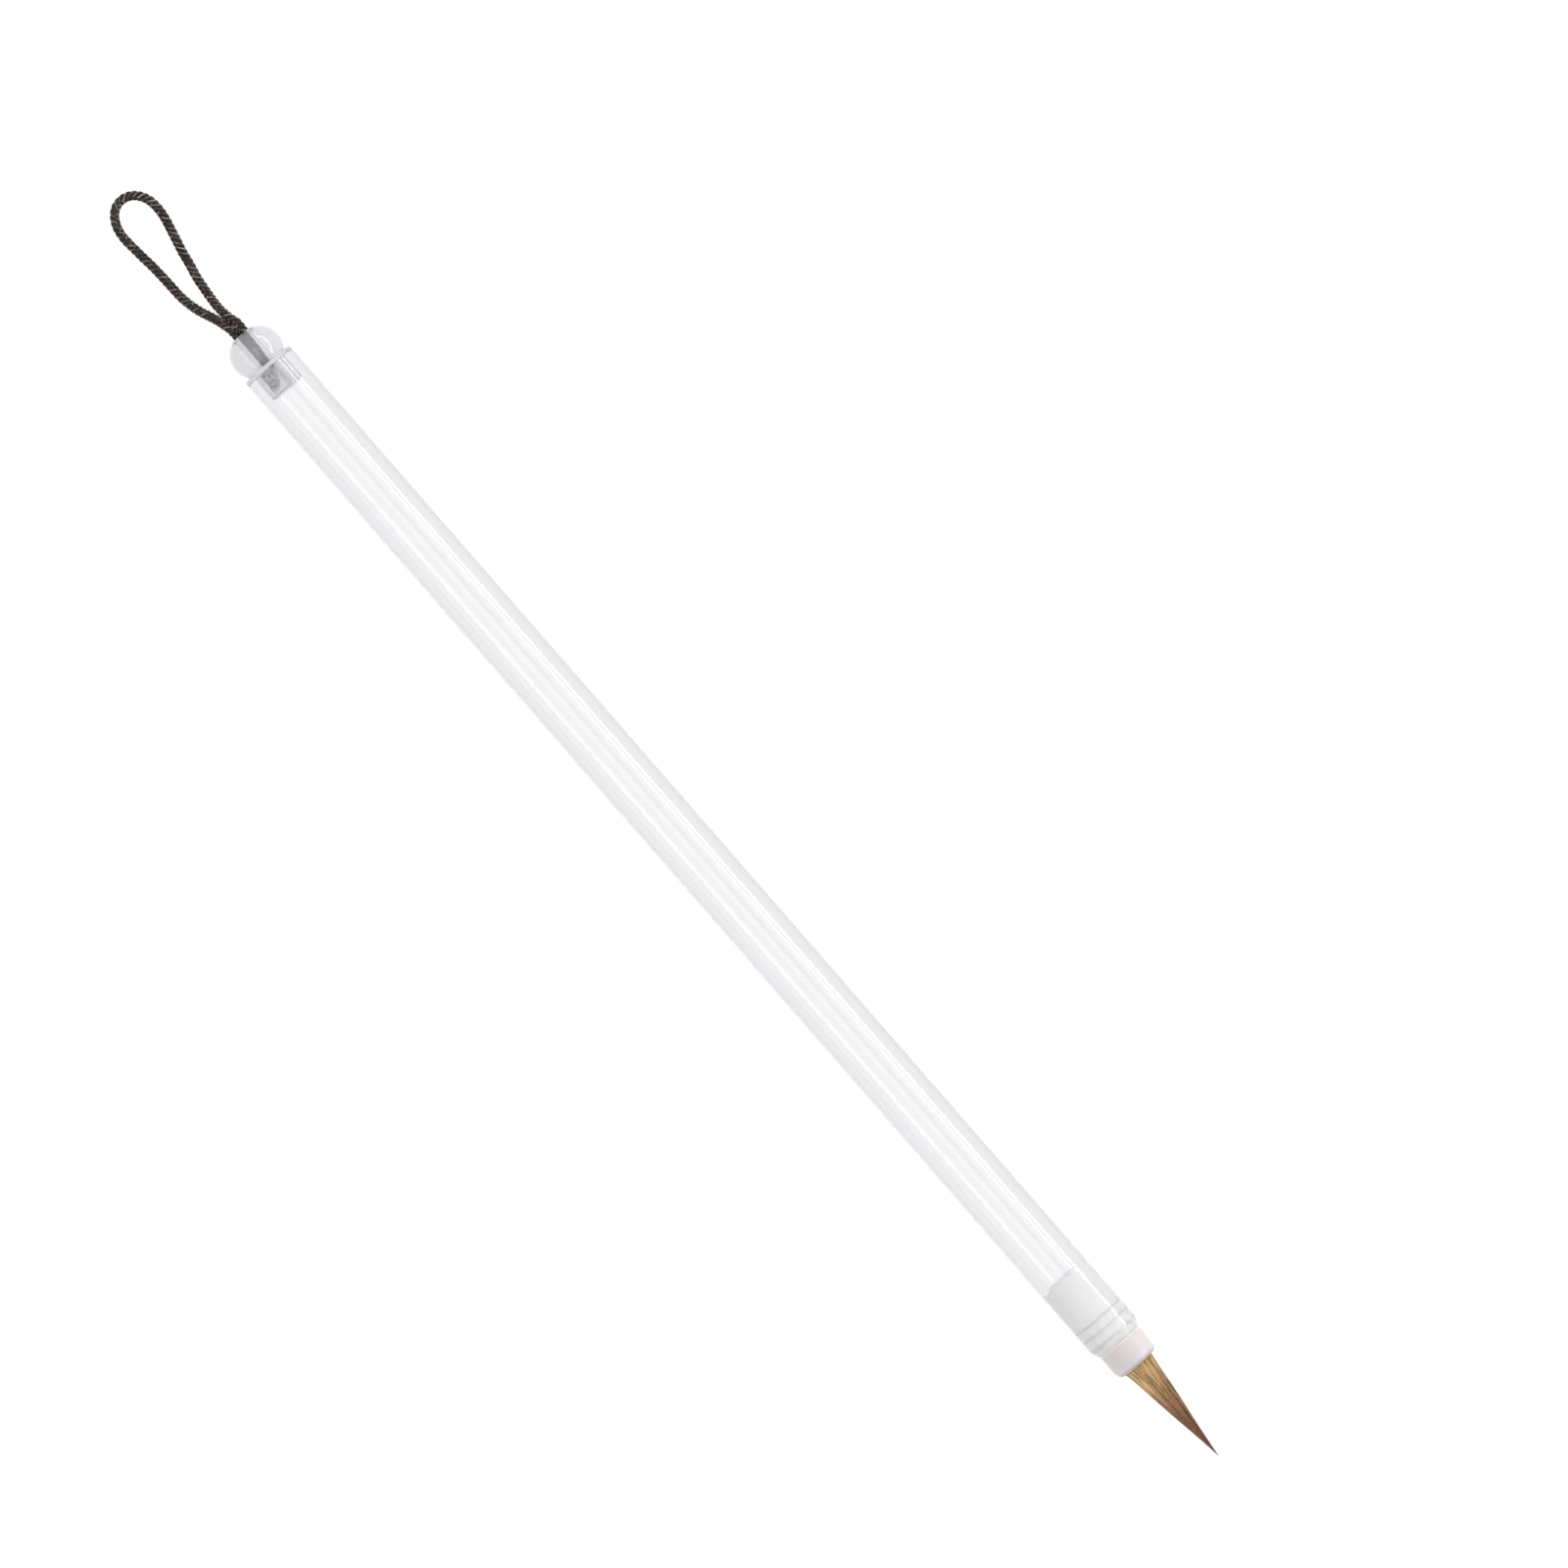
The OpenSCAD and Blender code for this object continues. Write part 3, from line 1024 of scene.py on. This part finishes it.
def smooth_line(points: Sequence[Point], step: float, per_span: int = 24) -> list[Point]:
    """An even line on the smooth curve through points.

    Args:
        points: the places that the curve goes through.
        step: about how far apart the line's points are.
        per_span: how finely the curve between two places is followed.

    Returns:
        The line's points.
    """
    given = np.array(points, float)
    given = np.vstack([2 * given[0] - given[1], given, 2 * given[-1] - given[-2]])
    made: list[np.ndarray] = []
    for p0, p1, p2, p3 in zip(given, given[1:], given[2:], given[3:]):
        t1 = math.sqrt(np.linalg.norm(p1 - p0))
        t2 = t1 + math.sqrt(np.linalg.norm(p2 - p1))
        t3 = t2 + math.sqrt(np.linalg.norm(p3 - p2))
        t = np.linspace(t1, t2, per_span, endpoint=False)[:, None]
        a1, a2 = p0 + (p1 - p0) * t / t1, p1 + (p2 - p1) * (t - t1) / (t2 - t1)
        a3 = p2 + (p3 - p2) * (t - t2) / (t3 - t2)
        b1, b2 = a1 + (a2 - a1) * t / t2, a2 + (a3 - a2) * (t - t1) / (t3 - t1)
        made.append(b1 + (b2 - b1) * (t - t1) / (t2 - t1))
    fine = np.vstack([*made, given[-2][None]])
    gone = np.concatenate([[0.0], np.cumsum(np.linalg.norm(np.diff(fine, axis=0), axis=1))])
    marks = np.linspace(0, gone[-1], max(2, round(gone[-1] / step)) + 1)
    return list(zip(*(np.interp(marks, gone, fine[:, k]).tolist() for k in range(3))))


@dataclass
class HangingCord:
    """The braided cord: two strands out of the plug's hole, a loop, and a melted knot inside."""

    places: Places
    diameter: float = 1.5 * MM
    strand_y: float = 0.77 * MM
    knot_top: float = 0.6 * MM
    neck_steps: int = 6
    line_step: float = 0.2 * MM
    bend_start: float = 0.0
    bend_end: float = 3.0 * MM
    knot_rings: int = 46
    knot_sides: int = 40
    knot_depth: float = 0.82  # share of the room in the stub, across the brush
    knot_drop: float = 1.9 * MM
    lump_scale: float = 900.0
    lump: float = 0.22
    crease: float = -0.2
    grain: float = 0.05
    # Each point's distance beyond the pivot, place across the brush and height, in millimetres
    route: tuple[Point, ...] = (
        (0.9, 0.72, 4.5), (2, 0.42, 4.35), (3.2, 0.17, 3.9), (4.6, 0.06, 3.15), (6.6, 0.15, 2),
        (8.6, 0.35, 1.2), (10.6, 0.6, 0.9), (12.8, 1.1, 0.8), (15, 1.5, 0.8), (17, 2, 0.8),
        (19, 2.5, 0.8), (21, 2.95, 0.8), (22.8, 3.1, 0.8), (24.5, 2.9, 0.8), (25.95, 2.2, 0.8),
        (26.95, 1.1, 0.8), (27.35, -0.4, 0.8), (26.95, -1.9, 0.8), (25.9, -3, 0.8),
        (24.4, -3.7, 0.8), (22.6, -3.95, 0.8), (20.5, -3.85, 0.8), (18.5, -3.7, 0.8),
        (16.4, -3.5, 0.8), (14.2, -3.4, 0.8), (12, -3.35, 0.8), (10, -3.3, 0.95),
        (8, -3, 1.4), (6, -2.45, 2.3), (4.4, -1.82, 3.25), (3, -1.3, 3.95),
        (1.9, -1.02, 4.35), (0.9, -0.75, 4.5),
    )

    def line(self) -> list[Point]:
        """The cord's centreline, from the knot round the loop and back to the knot."""
        at = self.places
        loop = [(at.pivot_x - x * MM, y * MM, z * MM) for x, y, z in self.route]
        first, last = self._neck(1), self._neck(-1)
        return smooth_line([*first, *loop, *reversed(last)], self.line_step)

    def _neck(self, side: int) -> list[Point]:
        """One strand from the knot to just short of the pivot, turning round the other."""
        at = self.places
        start = at.mouth_x + self.knot_top
        made = []
        for i in range(self.neck_steps):
            t = i / self.neck_steps
            a = math.pi / 2 * (1 - t**3)
            y, z = self.strand_y * math.cos(a), self.strand_y * math.sin(a)
            made.append((start + (at.pivot_x - start) * t, side * y, at.axis_z + side * z))
        return made

    def braid(self, yarn: Material, knot: Piece) -> Piece:
        at, line = self.places, self.line()
        cord = BraidTree().grow("hanging_cord", yarn, points=line)
        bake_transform(cord)
        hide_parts("hanging_loop", "cord_neck")
        return cord

    def knot(self, melt: Material) -> Piece:
        """Makes the knot: the two ends, twisted, melted together and leaning on the stub's wall."""
        low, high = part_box("cord_knot")
        rings, sides = self.knot_rings, self.knot_sides
        length, wall = high.x - low.x, low.y
        points: list[Point] = []
        for i in range(rings):
            t = i / (rings - 1)
            top = self._knot_top(t, high.y)
            close_in = math.sqrt(max(0.0, 1 - ((t - 0.5) / 0.5) ** 12))
            close_in *= min(1.0, 3 * (1 - t) ** 0.5)
            middle, half_y = (top + wall) / 2, (top - wall) / 2 * close_in
            half_z = math.sqrt(max(0.0, wall * wall - middle * middle)) * self.knot_depth * close_in
            for k in range(sides):
                a = 2 * math.pi * k / sides
                y, z = middle + half_y * math.cos(a), half_z * math.sin(a)
                points.append(self._crumpled(Vector((low.x + length * t, y, z)), wall))
        knot = add_mesh("cord_knot_melted", points, tube_faces(rings, sides))
        face_outwards(knot)
        dress(knot, melt)
        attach(knot, "cord")
        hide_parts("cord_knot")
        return knot

    def _knot_top(self, t: float, top: float) -> float:
        """The knot's upper side at a share t of its length: nearly level, then sloping down."""
        return top - self.knot_drop * max(0.0, t - 0.25) ** 1.4

    def _crumpled(self, at: Vector, wall: float) -> Point:
        """A point of the knot, moved in or out by lumps and creases, and kept off the wall."""
        seed = at * self.lump_scale
        lumps = noise.noise(seed) * self.lump
        lumps += abs(noise.noise(seed * 2.6)) * self.crease
        lumps += noise.noise(seed * 5) * self.grain
        out = Vector((0, at.y + 0.6 * MM, at.z))
        moved = at + (out.normalized() if out.length > 0 else out) * lumps * MM
        reach = math.hypot(moved.y, moved.z)
        if reach > -wall:
            moved.y, moved.z = moved.y * -wall / reach, moved.z * -wall / reach
        return (moved.x, moved.y, moved.z + self.places.axis_z)


# ---------------------------------------------------------------- Handle


@dataclass
class ClearHandle:
    """The clear tube, open at both ends."""

    places: Places
    mouth_chamfer: float = 0.45 * MM
    taper: float = 1.5 * MM
    taper_depth: float = 0.6 * MM
    edge: float = 0.12 * MM

    def tube(self, acrylic: Material) -> Piece:
        """Turns the tube, with its edges eased and polished."""
        at, edge = self.places, self.edge
        mouth, end, r = at.mouth_x, at.tube_end_x, at.handle_r
        outline = Outline().corners(
            (mouth, at.bore_r + self.mouth_chamfer, edge),
            (mouth, r, edge),
            (end - self.taper, r, 3 * edge),
            (end, r - self.taper_depth, edge),
            (end, at.bore_r, edge),
            (mouth + self.mouth_chamfer, at.bore_r, edge),
        )
        tube = turned("clear_tube", outline.close(ring=True), at.axis_z, sides=160)
        dress(tube, acrylic)
        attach(tube, "handle")
        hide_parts("handle_tube")
        return tube


@dataclass
class EndPlug:
    """The clear plug: a ball on the tube's mouth, a hollow stub inside it and the cord's hole."""

    places: Places
    crown: float = 3.8 * MM
    seat_gap: float = 0.03 * MM
    mouth_chamfer: float = 0.45 * MM
    stub_r: float = 2.95 * MM
    cavity_r: float = 2.2 * MM
    hole_r: float = 1.59 * MM
    hole_ease: float = 0.25 * MM
    ball_steps: int = 48

    def moulding(self, plastic: Material) -> Piece:
        """Turns the plug in one piece."""
        at = self.places
        mouth_r = at.bore_r + self.mouth_chamfer
        centre = at.mouth_x - (math.sqrt(2) * (at.ball_r + self.seat_gap) - mouth_r)
        ball = self._ball(centre)
        outline = Outline(arc_steps=6).curve(ball)
        outline.corners(
            (at.mouth_x + 0.25 * MM, self.stub_r, 0.2 * MM),
            (at.stub_end_x, self.stub_r, 0.35 * MM),
            (at.stub_end_x, self.cavity_r, 0.2 * MM),
            (at.mouth_x, self.cavity_r, 0.25 * MM),
            (at.mouth_x, self.hole_r, 0.12 * MM),
            (ball[0][0], self.hole_r, self.hole_ease),
        )
        plug = turned("clear_end_plug", outline.close(ring=True), at.axis_z, sides=144)
        dress(plug, plastic)
        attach(plug, "plug")
        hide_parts("end_plug")
        return plug

    def _ball(self, centre: float) -> list[tuple[float, float]]:
        """The ball's outline from the hole in its flattened crown to the tube's mouth."""
        r = self.places.ball_r
        top = math.asin((self.hole_r + self.hole_ease) / r)
        low = math.pi - math.asin((self.stub_r + 0.1 * MM) / r)
        made = []
        for i in range(self.ball_steps + 1):
            a = top + (low - top) * i / self.ball_steps
            height = self.crown if a < math.pi / 2 else r
            made.append((centre - height * math.cos(a), r * math.sin(a)))
        return made


# ---------------------------------------------------------------- Ferrule


class RingRow(GeometryTree):
    """A row of equal rings round the brush's axis."""

    def __init__(self) -> None:
        """Builds the tree."""
        super().__init__("ring_row")
        count = self.size("Count", 3)
        first = self.size("First", 0.0)
        pitch = self.size("Pitch", -1.75 * MM)
        axis_z = self.size("Axis Height", 4.5 * MM)
        radius = self.size("Ring Radius", 2.9 * MM)
        width = self.size("Bead Width", 0.5 * MM)
        depth = self.size("Bead Depth", 0.2 * MM)
        start, offset = self.join(first, 0.0, axis_z), self.join(pitch, 0.0, 0.0)
        sockets = {"Count": count, "Start Location": start, "Offset": offset}
        places = self.node("GeometryNodeMeshLine", {}, sockets)
        ring = self.node("GeometryNodeCurvePrimitiveCircle", {}, {"Resolution": 96, "Radius": radius})
        bead = self.node("GeometryNodeCurvePrimitiveCircle", {}, {"Resolution": 12, "Radius": 0.5})
        oval = self.node(
            "GeometryNodeTransform", {}, {"Geometry": bead, "Scale": self.join(depth, width, 1.0)}
        )
        ring = self.node("GeometryNodeCurveToMesh", {}, {"Curve": ring, "Profile Curve": oval})
        ring = self.node(
            "GeometryNodeTransform", {}, {"Geometry": ring, "Rotation": (0, math.pi / 2, 0)}
        )
        row = self.node("GeometryNodeInstanceOnPoints", {}, {"Points": places, "Instance": ring})
        self.close(row)


class ThreadWinding(GeometryTree):
    """Thread wound round the brush's axis, turn beside turn."""

    def __init__(self) -> None:
        """Builds the tree."""
        super().__init__("thread_winding")
        turns = self.size("Turns", 4.0)
        start = self.size("Start", 0.0)
        length = self.size("Length", 1.6 * MM)
        axis_z = self.size("Axis Height", 4.5 * MM)
        radius = self.size("Winding Radius", 2.1 * MM)
        thick = self.size("Thread Diameter", 0.32 * MM)
        sockets = {
            "Resolution": 48,
            "Rotations": turns,
            "Start Radius": radius,
            "End Radius": radius,
            "Height": length,
        }
        coil = self.node("GeometryNodeCurveSpiral", {}, sockets)
        ring = self.node("GeometryNodeCurvePrimitiveCircle", {}, {"Resolution": 10, "Radius": thick / 2})
        sockets = {"Curve": coil, "Profile Curve": ring, "Fill Caps": True}
        wound = self.node("GeometryNodeCurveToMesh", {}, sockets)
        laid = {
            "Geometry": wound,
            "Rotation": (0, math.pi / 2, 0),
            "Translation": self.join(start, 0.0, axis_z),
        }
        self.close(self.node("GeometryNodeTransform", {}, laid))


@dataclass
class MilkyFerrule:
    """The ferrule bonded in the tube's end, with what holds the hair in it."""

    places: Places
    bond: float = 0.01 * MM
    collar_wall: float = 1.05 * MM
    collar_round: float = 1.55 * MM
    lip: float = 0.1 * MM
    core_r: float = 1.8 * MM
    web_end: float = 3.2 * MM
    socket_end: float = 1.2 * MM
    root_socket_r: float = 2.35 * MM
    groove_start: float = 1.5 * MM
    groove_pitch: float = 1.75 * MM
    groove_width: float = 0.5 * MM
    groove_depth: float = 0.2 * MM
    grooves: int = 3
    thread: float = 0.32 * MM

    def body(self, milky: Material) -> Piece:
        """Turns the spigot and collar in one piece."""
        at, end = self.places, self.places.tube_end_x
        r = at.bore_r + self.bond
        socket_r = at.collar_r - self.collar_wall
        web = end - self.web_end
        outline = Outline(arc_steps=5)
        outline.curve([(web, 0.0)])
        outline.corners(
            (web, self.core_r, 0.3 * MM),
            (at.spigot_x, self.core_r, 0.2 * MM),
            (at.spigot_x, r - 0.4 * MM, 0.1 * MM),
            (at.spigot_x + 0.4 * MM, r, 0.3 * MM),
            (end - 0.02 * MM, r, 0.05 * MM),
            (end + 0.02 * MM, at.collar_r, 0.15 * MM),
        )
        outline.curve(self._rounded_end())
        outline.corners(
            (at.hair_x, socket_r, 0.08 * MM),
            (at.hair_x - at.hair_r, socket_r, 0.1 * MM),
            (at.hair_x - at.hair_r - 0.3 * MM, self.root_socket_r, 0.1 * MM),
            (end - self.socket_end, self.root_socket_r, 0.2 * MM),
        )
        outline.curve([(end - self.socket_end, 0.0)])
        half = outline.close(ring=False)
        ferrule = turned("milky_ferrule", half, at.axis_z, ring=False, sides=144)
        dress(ferrule, milky)
        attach(ferrule, "handle")
        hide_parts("ferrule")
        return ferrule

    def _rounded_end(self, steps: int = 20) -> list[tuple[float, float]]:
        """The collar's rounded end, from its side to the lip round the hair."""
        at, drop = self.places, self.collar_wall - self.lip
        made = []
        for i in range(steps + 1):
            a = math.pi / 2 * i / steps
            x = at.hair_x - self.collar_round * (1 - math.sin(a))
            made.append((x, at.collar_r - drop * (1 - math.cos(a))))
        return made

    def adhesive_rings(self, glue: Material) -> Piece:
        """Fills the spigot's grooves with rings of adhesive."""
        at = self.places
        values = {
            "Count": self.grooves,
            "First": at.tube_end_x - self.groove_start,
            "Pitch": -self.groove_pitch,
            "Axis Height": at.axis_z,
            "Ring Radius": at.bore_r - self.groove_depth / 2 + 0.03 * MM,
            "Bead Width": self.groove_width,
            "Bead Depth": self.groove_depth,
        }
        rings = RingRow().grow("adhesive_rings", glue, values)
        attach(rings, "handle")
        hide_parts("spigot_adhesive")
        return rings

    def binding(self, cotton: Material) -> Piece:
        """Winds the thread round the hair's root."""
        low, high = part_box("binding_thread")
        values = {
            "Turns": 4.0,
            "Start": low.x + self.thread / 2,
            "Length": high.x - low.x - self.thread,
            "Axis Height": self.places.axis_z,
            "Winding Radius": high.y - self.thread / 2,
            "Thread Diameter": self.thread,
        }
        winding = ThreadWinding().grow("wound_thread", cotton, values)
        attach(winding, "handle")
        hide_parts("binding_thread")
        return winding

    def inner_pieces(self, glue: Material, hair: Material) -> None:
        """Dresses the bound root and its adhesive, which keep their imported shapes."""
        for node, material, slot in (
            ("root_adhesive", glue, "adhesive"),
            ("tuft_root", hair, "outer_hair"),
        ):
            piece = frame["nodes"][node]
            dress(piece, material)


# ---------------------------------------------------------------- Hair


@dataclass(frozen=True)
class TuftShape:
    """How the hair's radius falls from the ferrule to the point, as in the part's source."""

    power: float = 1.05
    belly: float = 0.08
    flare: float = 0.08
    flare_length: float = 0.8 * MM

    def share(self, t: Any, x: Any, tree: NodeTree) -> Socket:
        """The radius's share of its largest, as nodes.

        Args:
            t: the way from the ferrule to the point, 0 to 1.
            x: the same way in metres.
            tree: the tree to build in.

        Returns:
            The share.
        """
        left = 1 - t
        full = 1 + self.belly * tree.math("SINE", t * math.pi)
        flare = tree.math("EXPONENT", x / -self.flare_length)
        return (1 - self.flare) * left**self.power * full + self.flare * flare * left

    def share_at(self, t: float, x: float) -> float:
        """The same share as a number."""
        left = max(0.0, 1 - t)
        full = 1 + self.belly * math.sin(math.pi * t)
        flare = math.exp(-x / self.flare_length)
        return (1 - self.flare) * left**self.power * full + self.flare * flare * left


class HairBundle(GeometryTree):
    """Many fine hairs that rise from the ferrule and close to the brush's point."""

    STEPS = 12
    SEED_GAP = 10000  # keeps the draws of two bundles apart
    PHASE = 6.28
    TAPER_FROM, TAPER = 1.02, 0.45
    THINNEST, THICKEST = 0.7, 1.15
    STRAY = 0.07  # how far round a hair's end may drift, in radians
    SWAY = 0.02
    WAVE = 0.01

    def __init__(self, shape: TuftShape) -> None:
        """Builds the tree."""
        super().__init__("hair_bundle")
        count = self.size("Count", 1200)
        seed = self.size("Seed", 7)
        base_x = self.size("Base", 0.0)
        root = self.size("Root", 1.2 * MM)
        length = self.size("Length", 19.1 * MM)
        radius = self.size("Radius", 2.7 * MM)
        axis_z = self.size("Axis Height", 4.5 * MM)
        inner = self.size("Inner Share", 0.85)
        shortest = self.size("Shortest", 0.7)
        longest = self.size("Longest", 0.97)
        thick = self.size("Hair Diameter", 0.085 * MM)
        line = self.node("GeometryNodeCurvePrimitiveLine", {}, {"End": (1.0, 0.0, 0.0)})
        line = self.node("GeometryNodeResampleCurve", {}, {"Curve": line, "Count": self.STEPS})
        hairs = self.node(
            "GeometryNodeDuplicateElements", {"domain": "SPLINE"}, {"Geometry": line, "Amount": count}
        )
        number = hairs["Duplicate Index"]

        def draw(low: Any, high: Any, nth: int) -> Socket:
            """One random number for each hair."""
            return self.random(low, high, nth, number + seed * self.SEED_GAP)

        way = self.node("GeometryNodeSplineParameter")
        reach = draw(shortest, longest, 1)
        x = way * (reach * length + root) - root
        ahead = self.math("MAXIMUM", x, 0.0)
        t = ahead / length
        share = draw(inner, 1.0, 2) ** 0.5 * (
            1 + self.WAVE * self.math("SINE", way * 6 + draw(0.0, self.PHASE, 3))
        )
        out = share * radius * shape.share(t, ahead, self)
        angle = draw(0.0, 2 * math.pi, 4) + (
            draw(-self.STRAY, self.STRAY, 5) + self.SWAY * self.math("SINE", way * 7)
        ) * way
        across = out * self.math("COSINE", angle)
        place = self.join(base_x + x, across, axis_z + out * self.math("SINE", angle))
        hairs = self.store(hairs, "along", t)
        hairs = self.store(hairs, "tone", draw(0.0, 1.0, 6))
        slim = self.math("POWER", self.TAPER_FROM - way, self.TAPER)
        slim = slim * draw(self.THINNEST, self.THICKEST, 7)
        hairs = self.store(hairs, "slim", slim)
        hairs = self.node("GeometryNodeSetPosition", {}, {"Geometry": hairs, "Position": place})
        ring = self.node("GeometryNodeCurvePrimitiveCircle", {}, {"Resolution": 3, "Radius": thick / 2})
        sockets = {
            "Curve": hairs,
            "Profile Curve": ring,
            "Scale": self.attribute("slim"),
            "Fill Caps": True,
        }
        self.close(self.node("GeometryNodeCurveToMesh", {}, sockets))


@dataclass
class HairTuft:
    """The hair: long inner hairs that make the point, and shorter, lighter ones round them."""

    places: Places
    shape: TuftShape = TuftShape()
    outer_count: int = 1500
    inner_count: int = 700
    outer_seed: int = 7
    inner_seed: int = 19
    root: float = 2.0 * MM
    body_share: float = 0.9
    body_rings: int = 40
    body_sides: int = 96
    body_length: float = 0.985
    ridge: float = 0.035

    def outer(self, hair: Material) -> Piece:
        """Grows the outer hairs."""
        values = self._values(self.outer_count, self.outer_seed, 0.84)
        values |= {"Shortest": 0.62, "Longest": 0.93}
        tuft = HairBundle(self.shape).grow("outer_hair", hair, values)
        return self._bent(tuft, "tuft_mantle")

    def inner(self, hair: Material) -> Piece:
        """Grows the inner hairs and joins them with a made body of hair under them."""
        values = self._values(self.inner_count, self.inner_seed, 0.5)
        values |= {"Shortest": 0.86, "Longest": 1.0, "Hair Diameter": 0.075 * MM}
        tuft = HairBundle(self.shape).grow("inner_hair", hair, values)
        body = self._body()
        dress(body, hair)
        with bpy.context.temp_override(
            active_object=tuft, selected_editable_objects=[tuft, body], selected_objects=[tuft, body]
        ):
            bpy.ops.object.join()
        return self._bent(tuft, "tuft_core")

    def _values(self, count: int, seed: int, inner: float) -> dict[str, float]:
        """The bundle's inputs that both kinds of hair share."""
        at = self.places
        return {
            "Count": count,
            "Seed": seed,
            "Base": at.hair_x,
            "Root": self.root,
            "Length": at.tip_x - at.hair_x,
            "Radius": at.hair_r,
            "Axis Height": at.axis_z,
            "Inner Share": inner**2,
        }

    def _body(self) -> Piece:
        """The mass of hair under the loose ones, ridged along its length."""
        at, rings, sides = self.places, self.body_rings, self.body_sides
        length = at.tip_x - at.hair_x
        points: list[Point] = []
        along: list[float] = []
        tone: list[float] = []
        for i in range(rings):
            x = -self.root + (self.body_length * length + self.root) * i / (rings - 1)
            ahead = max(0.0, x)
            reach = self.body_share * at.hair_r * self.shape.share_at(ahead / length, ahead)
            for k in range(sides):
                a = 2 * math.pi * k / sides
                rise = noise.noise(Vector((a * 14, math.sin(a) * 5, x * 60)))
                r = reach * (1 + self.ridge * rise)
                points.append((at.hair_x + x, r * math.cos(a), at.axis_z + r * math.sin(a)))
                along.append(ahead / length)
                patch = Vector((math.cos(a) * 9, math.sin(a) * 9, x * 40))
                tone.append(0.5 + 0.5 * noise.noise(patch))
        body = add_mesh("hair_body", points, tube_faces(rings, sides))
        face_outwards(body)
        for name, values in (("along", along), ("tone", tone)):
            body.data.attributes.new(name, "FLOAT", "POINT").data.foreach_set("value", values)
        return body

    def _bent(self, tuft: Piece, node: str) -> Piece:
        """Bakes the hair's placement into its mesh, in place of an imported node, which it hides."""
        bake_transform(tuft)
        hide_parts(node)
        return tuft


# ---------------------------------------------------------------- The brush


def report(piece: Piece) -> None:
    """Logs a finished piece and its count of faces."""
    log.info("%s: %d faces", piece.name, len(piece.data.polygons))


def main() -> None:
    """Builds the studio and the brush."""
    logging.basicConfig(level=logging.INFO, format="%(message)s")
    places = Places.read()

    studio = Studio()
    studio.camera()
    cord = HangingCord(places)
    knot = cord.knot(MeltedCord().material())
    report(knot)
    report(cord.braid(BraidedYarn(places).material(), knot))
    studio.floor()
    studio.light()

    report(ClearHandle(places).tube(ClearAcrylic(places).material()))
    report(EndPlug(places).moulding(ClearPlastic().material()))

    glue = SetAdhesive().material()
    ferrule = MilkyFerrule(places)
    report(ferrule.body(MilkyPlastic(places).material()))
    report(ferrule.adhesive_rings(glue))
    report(ferrule.binding(CottonThread().material()))

    outer = Hair("outer_hair", OUTER_HAIR, places.axis_z).material()
    inner = Hair("inner_hair", INNER_HAIR, places.axis_z).material()
    ferrule.inner_pieces(glue, outer)
    tuft = HairTuft(places)
    report(tuft.outer(outer))
    report(tuft.inner(inner))


if __name__ == "__main__":
    main()
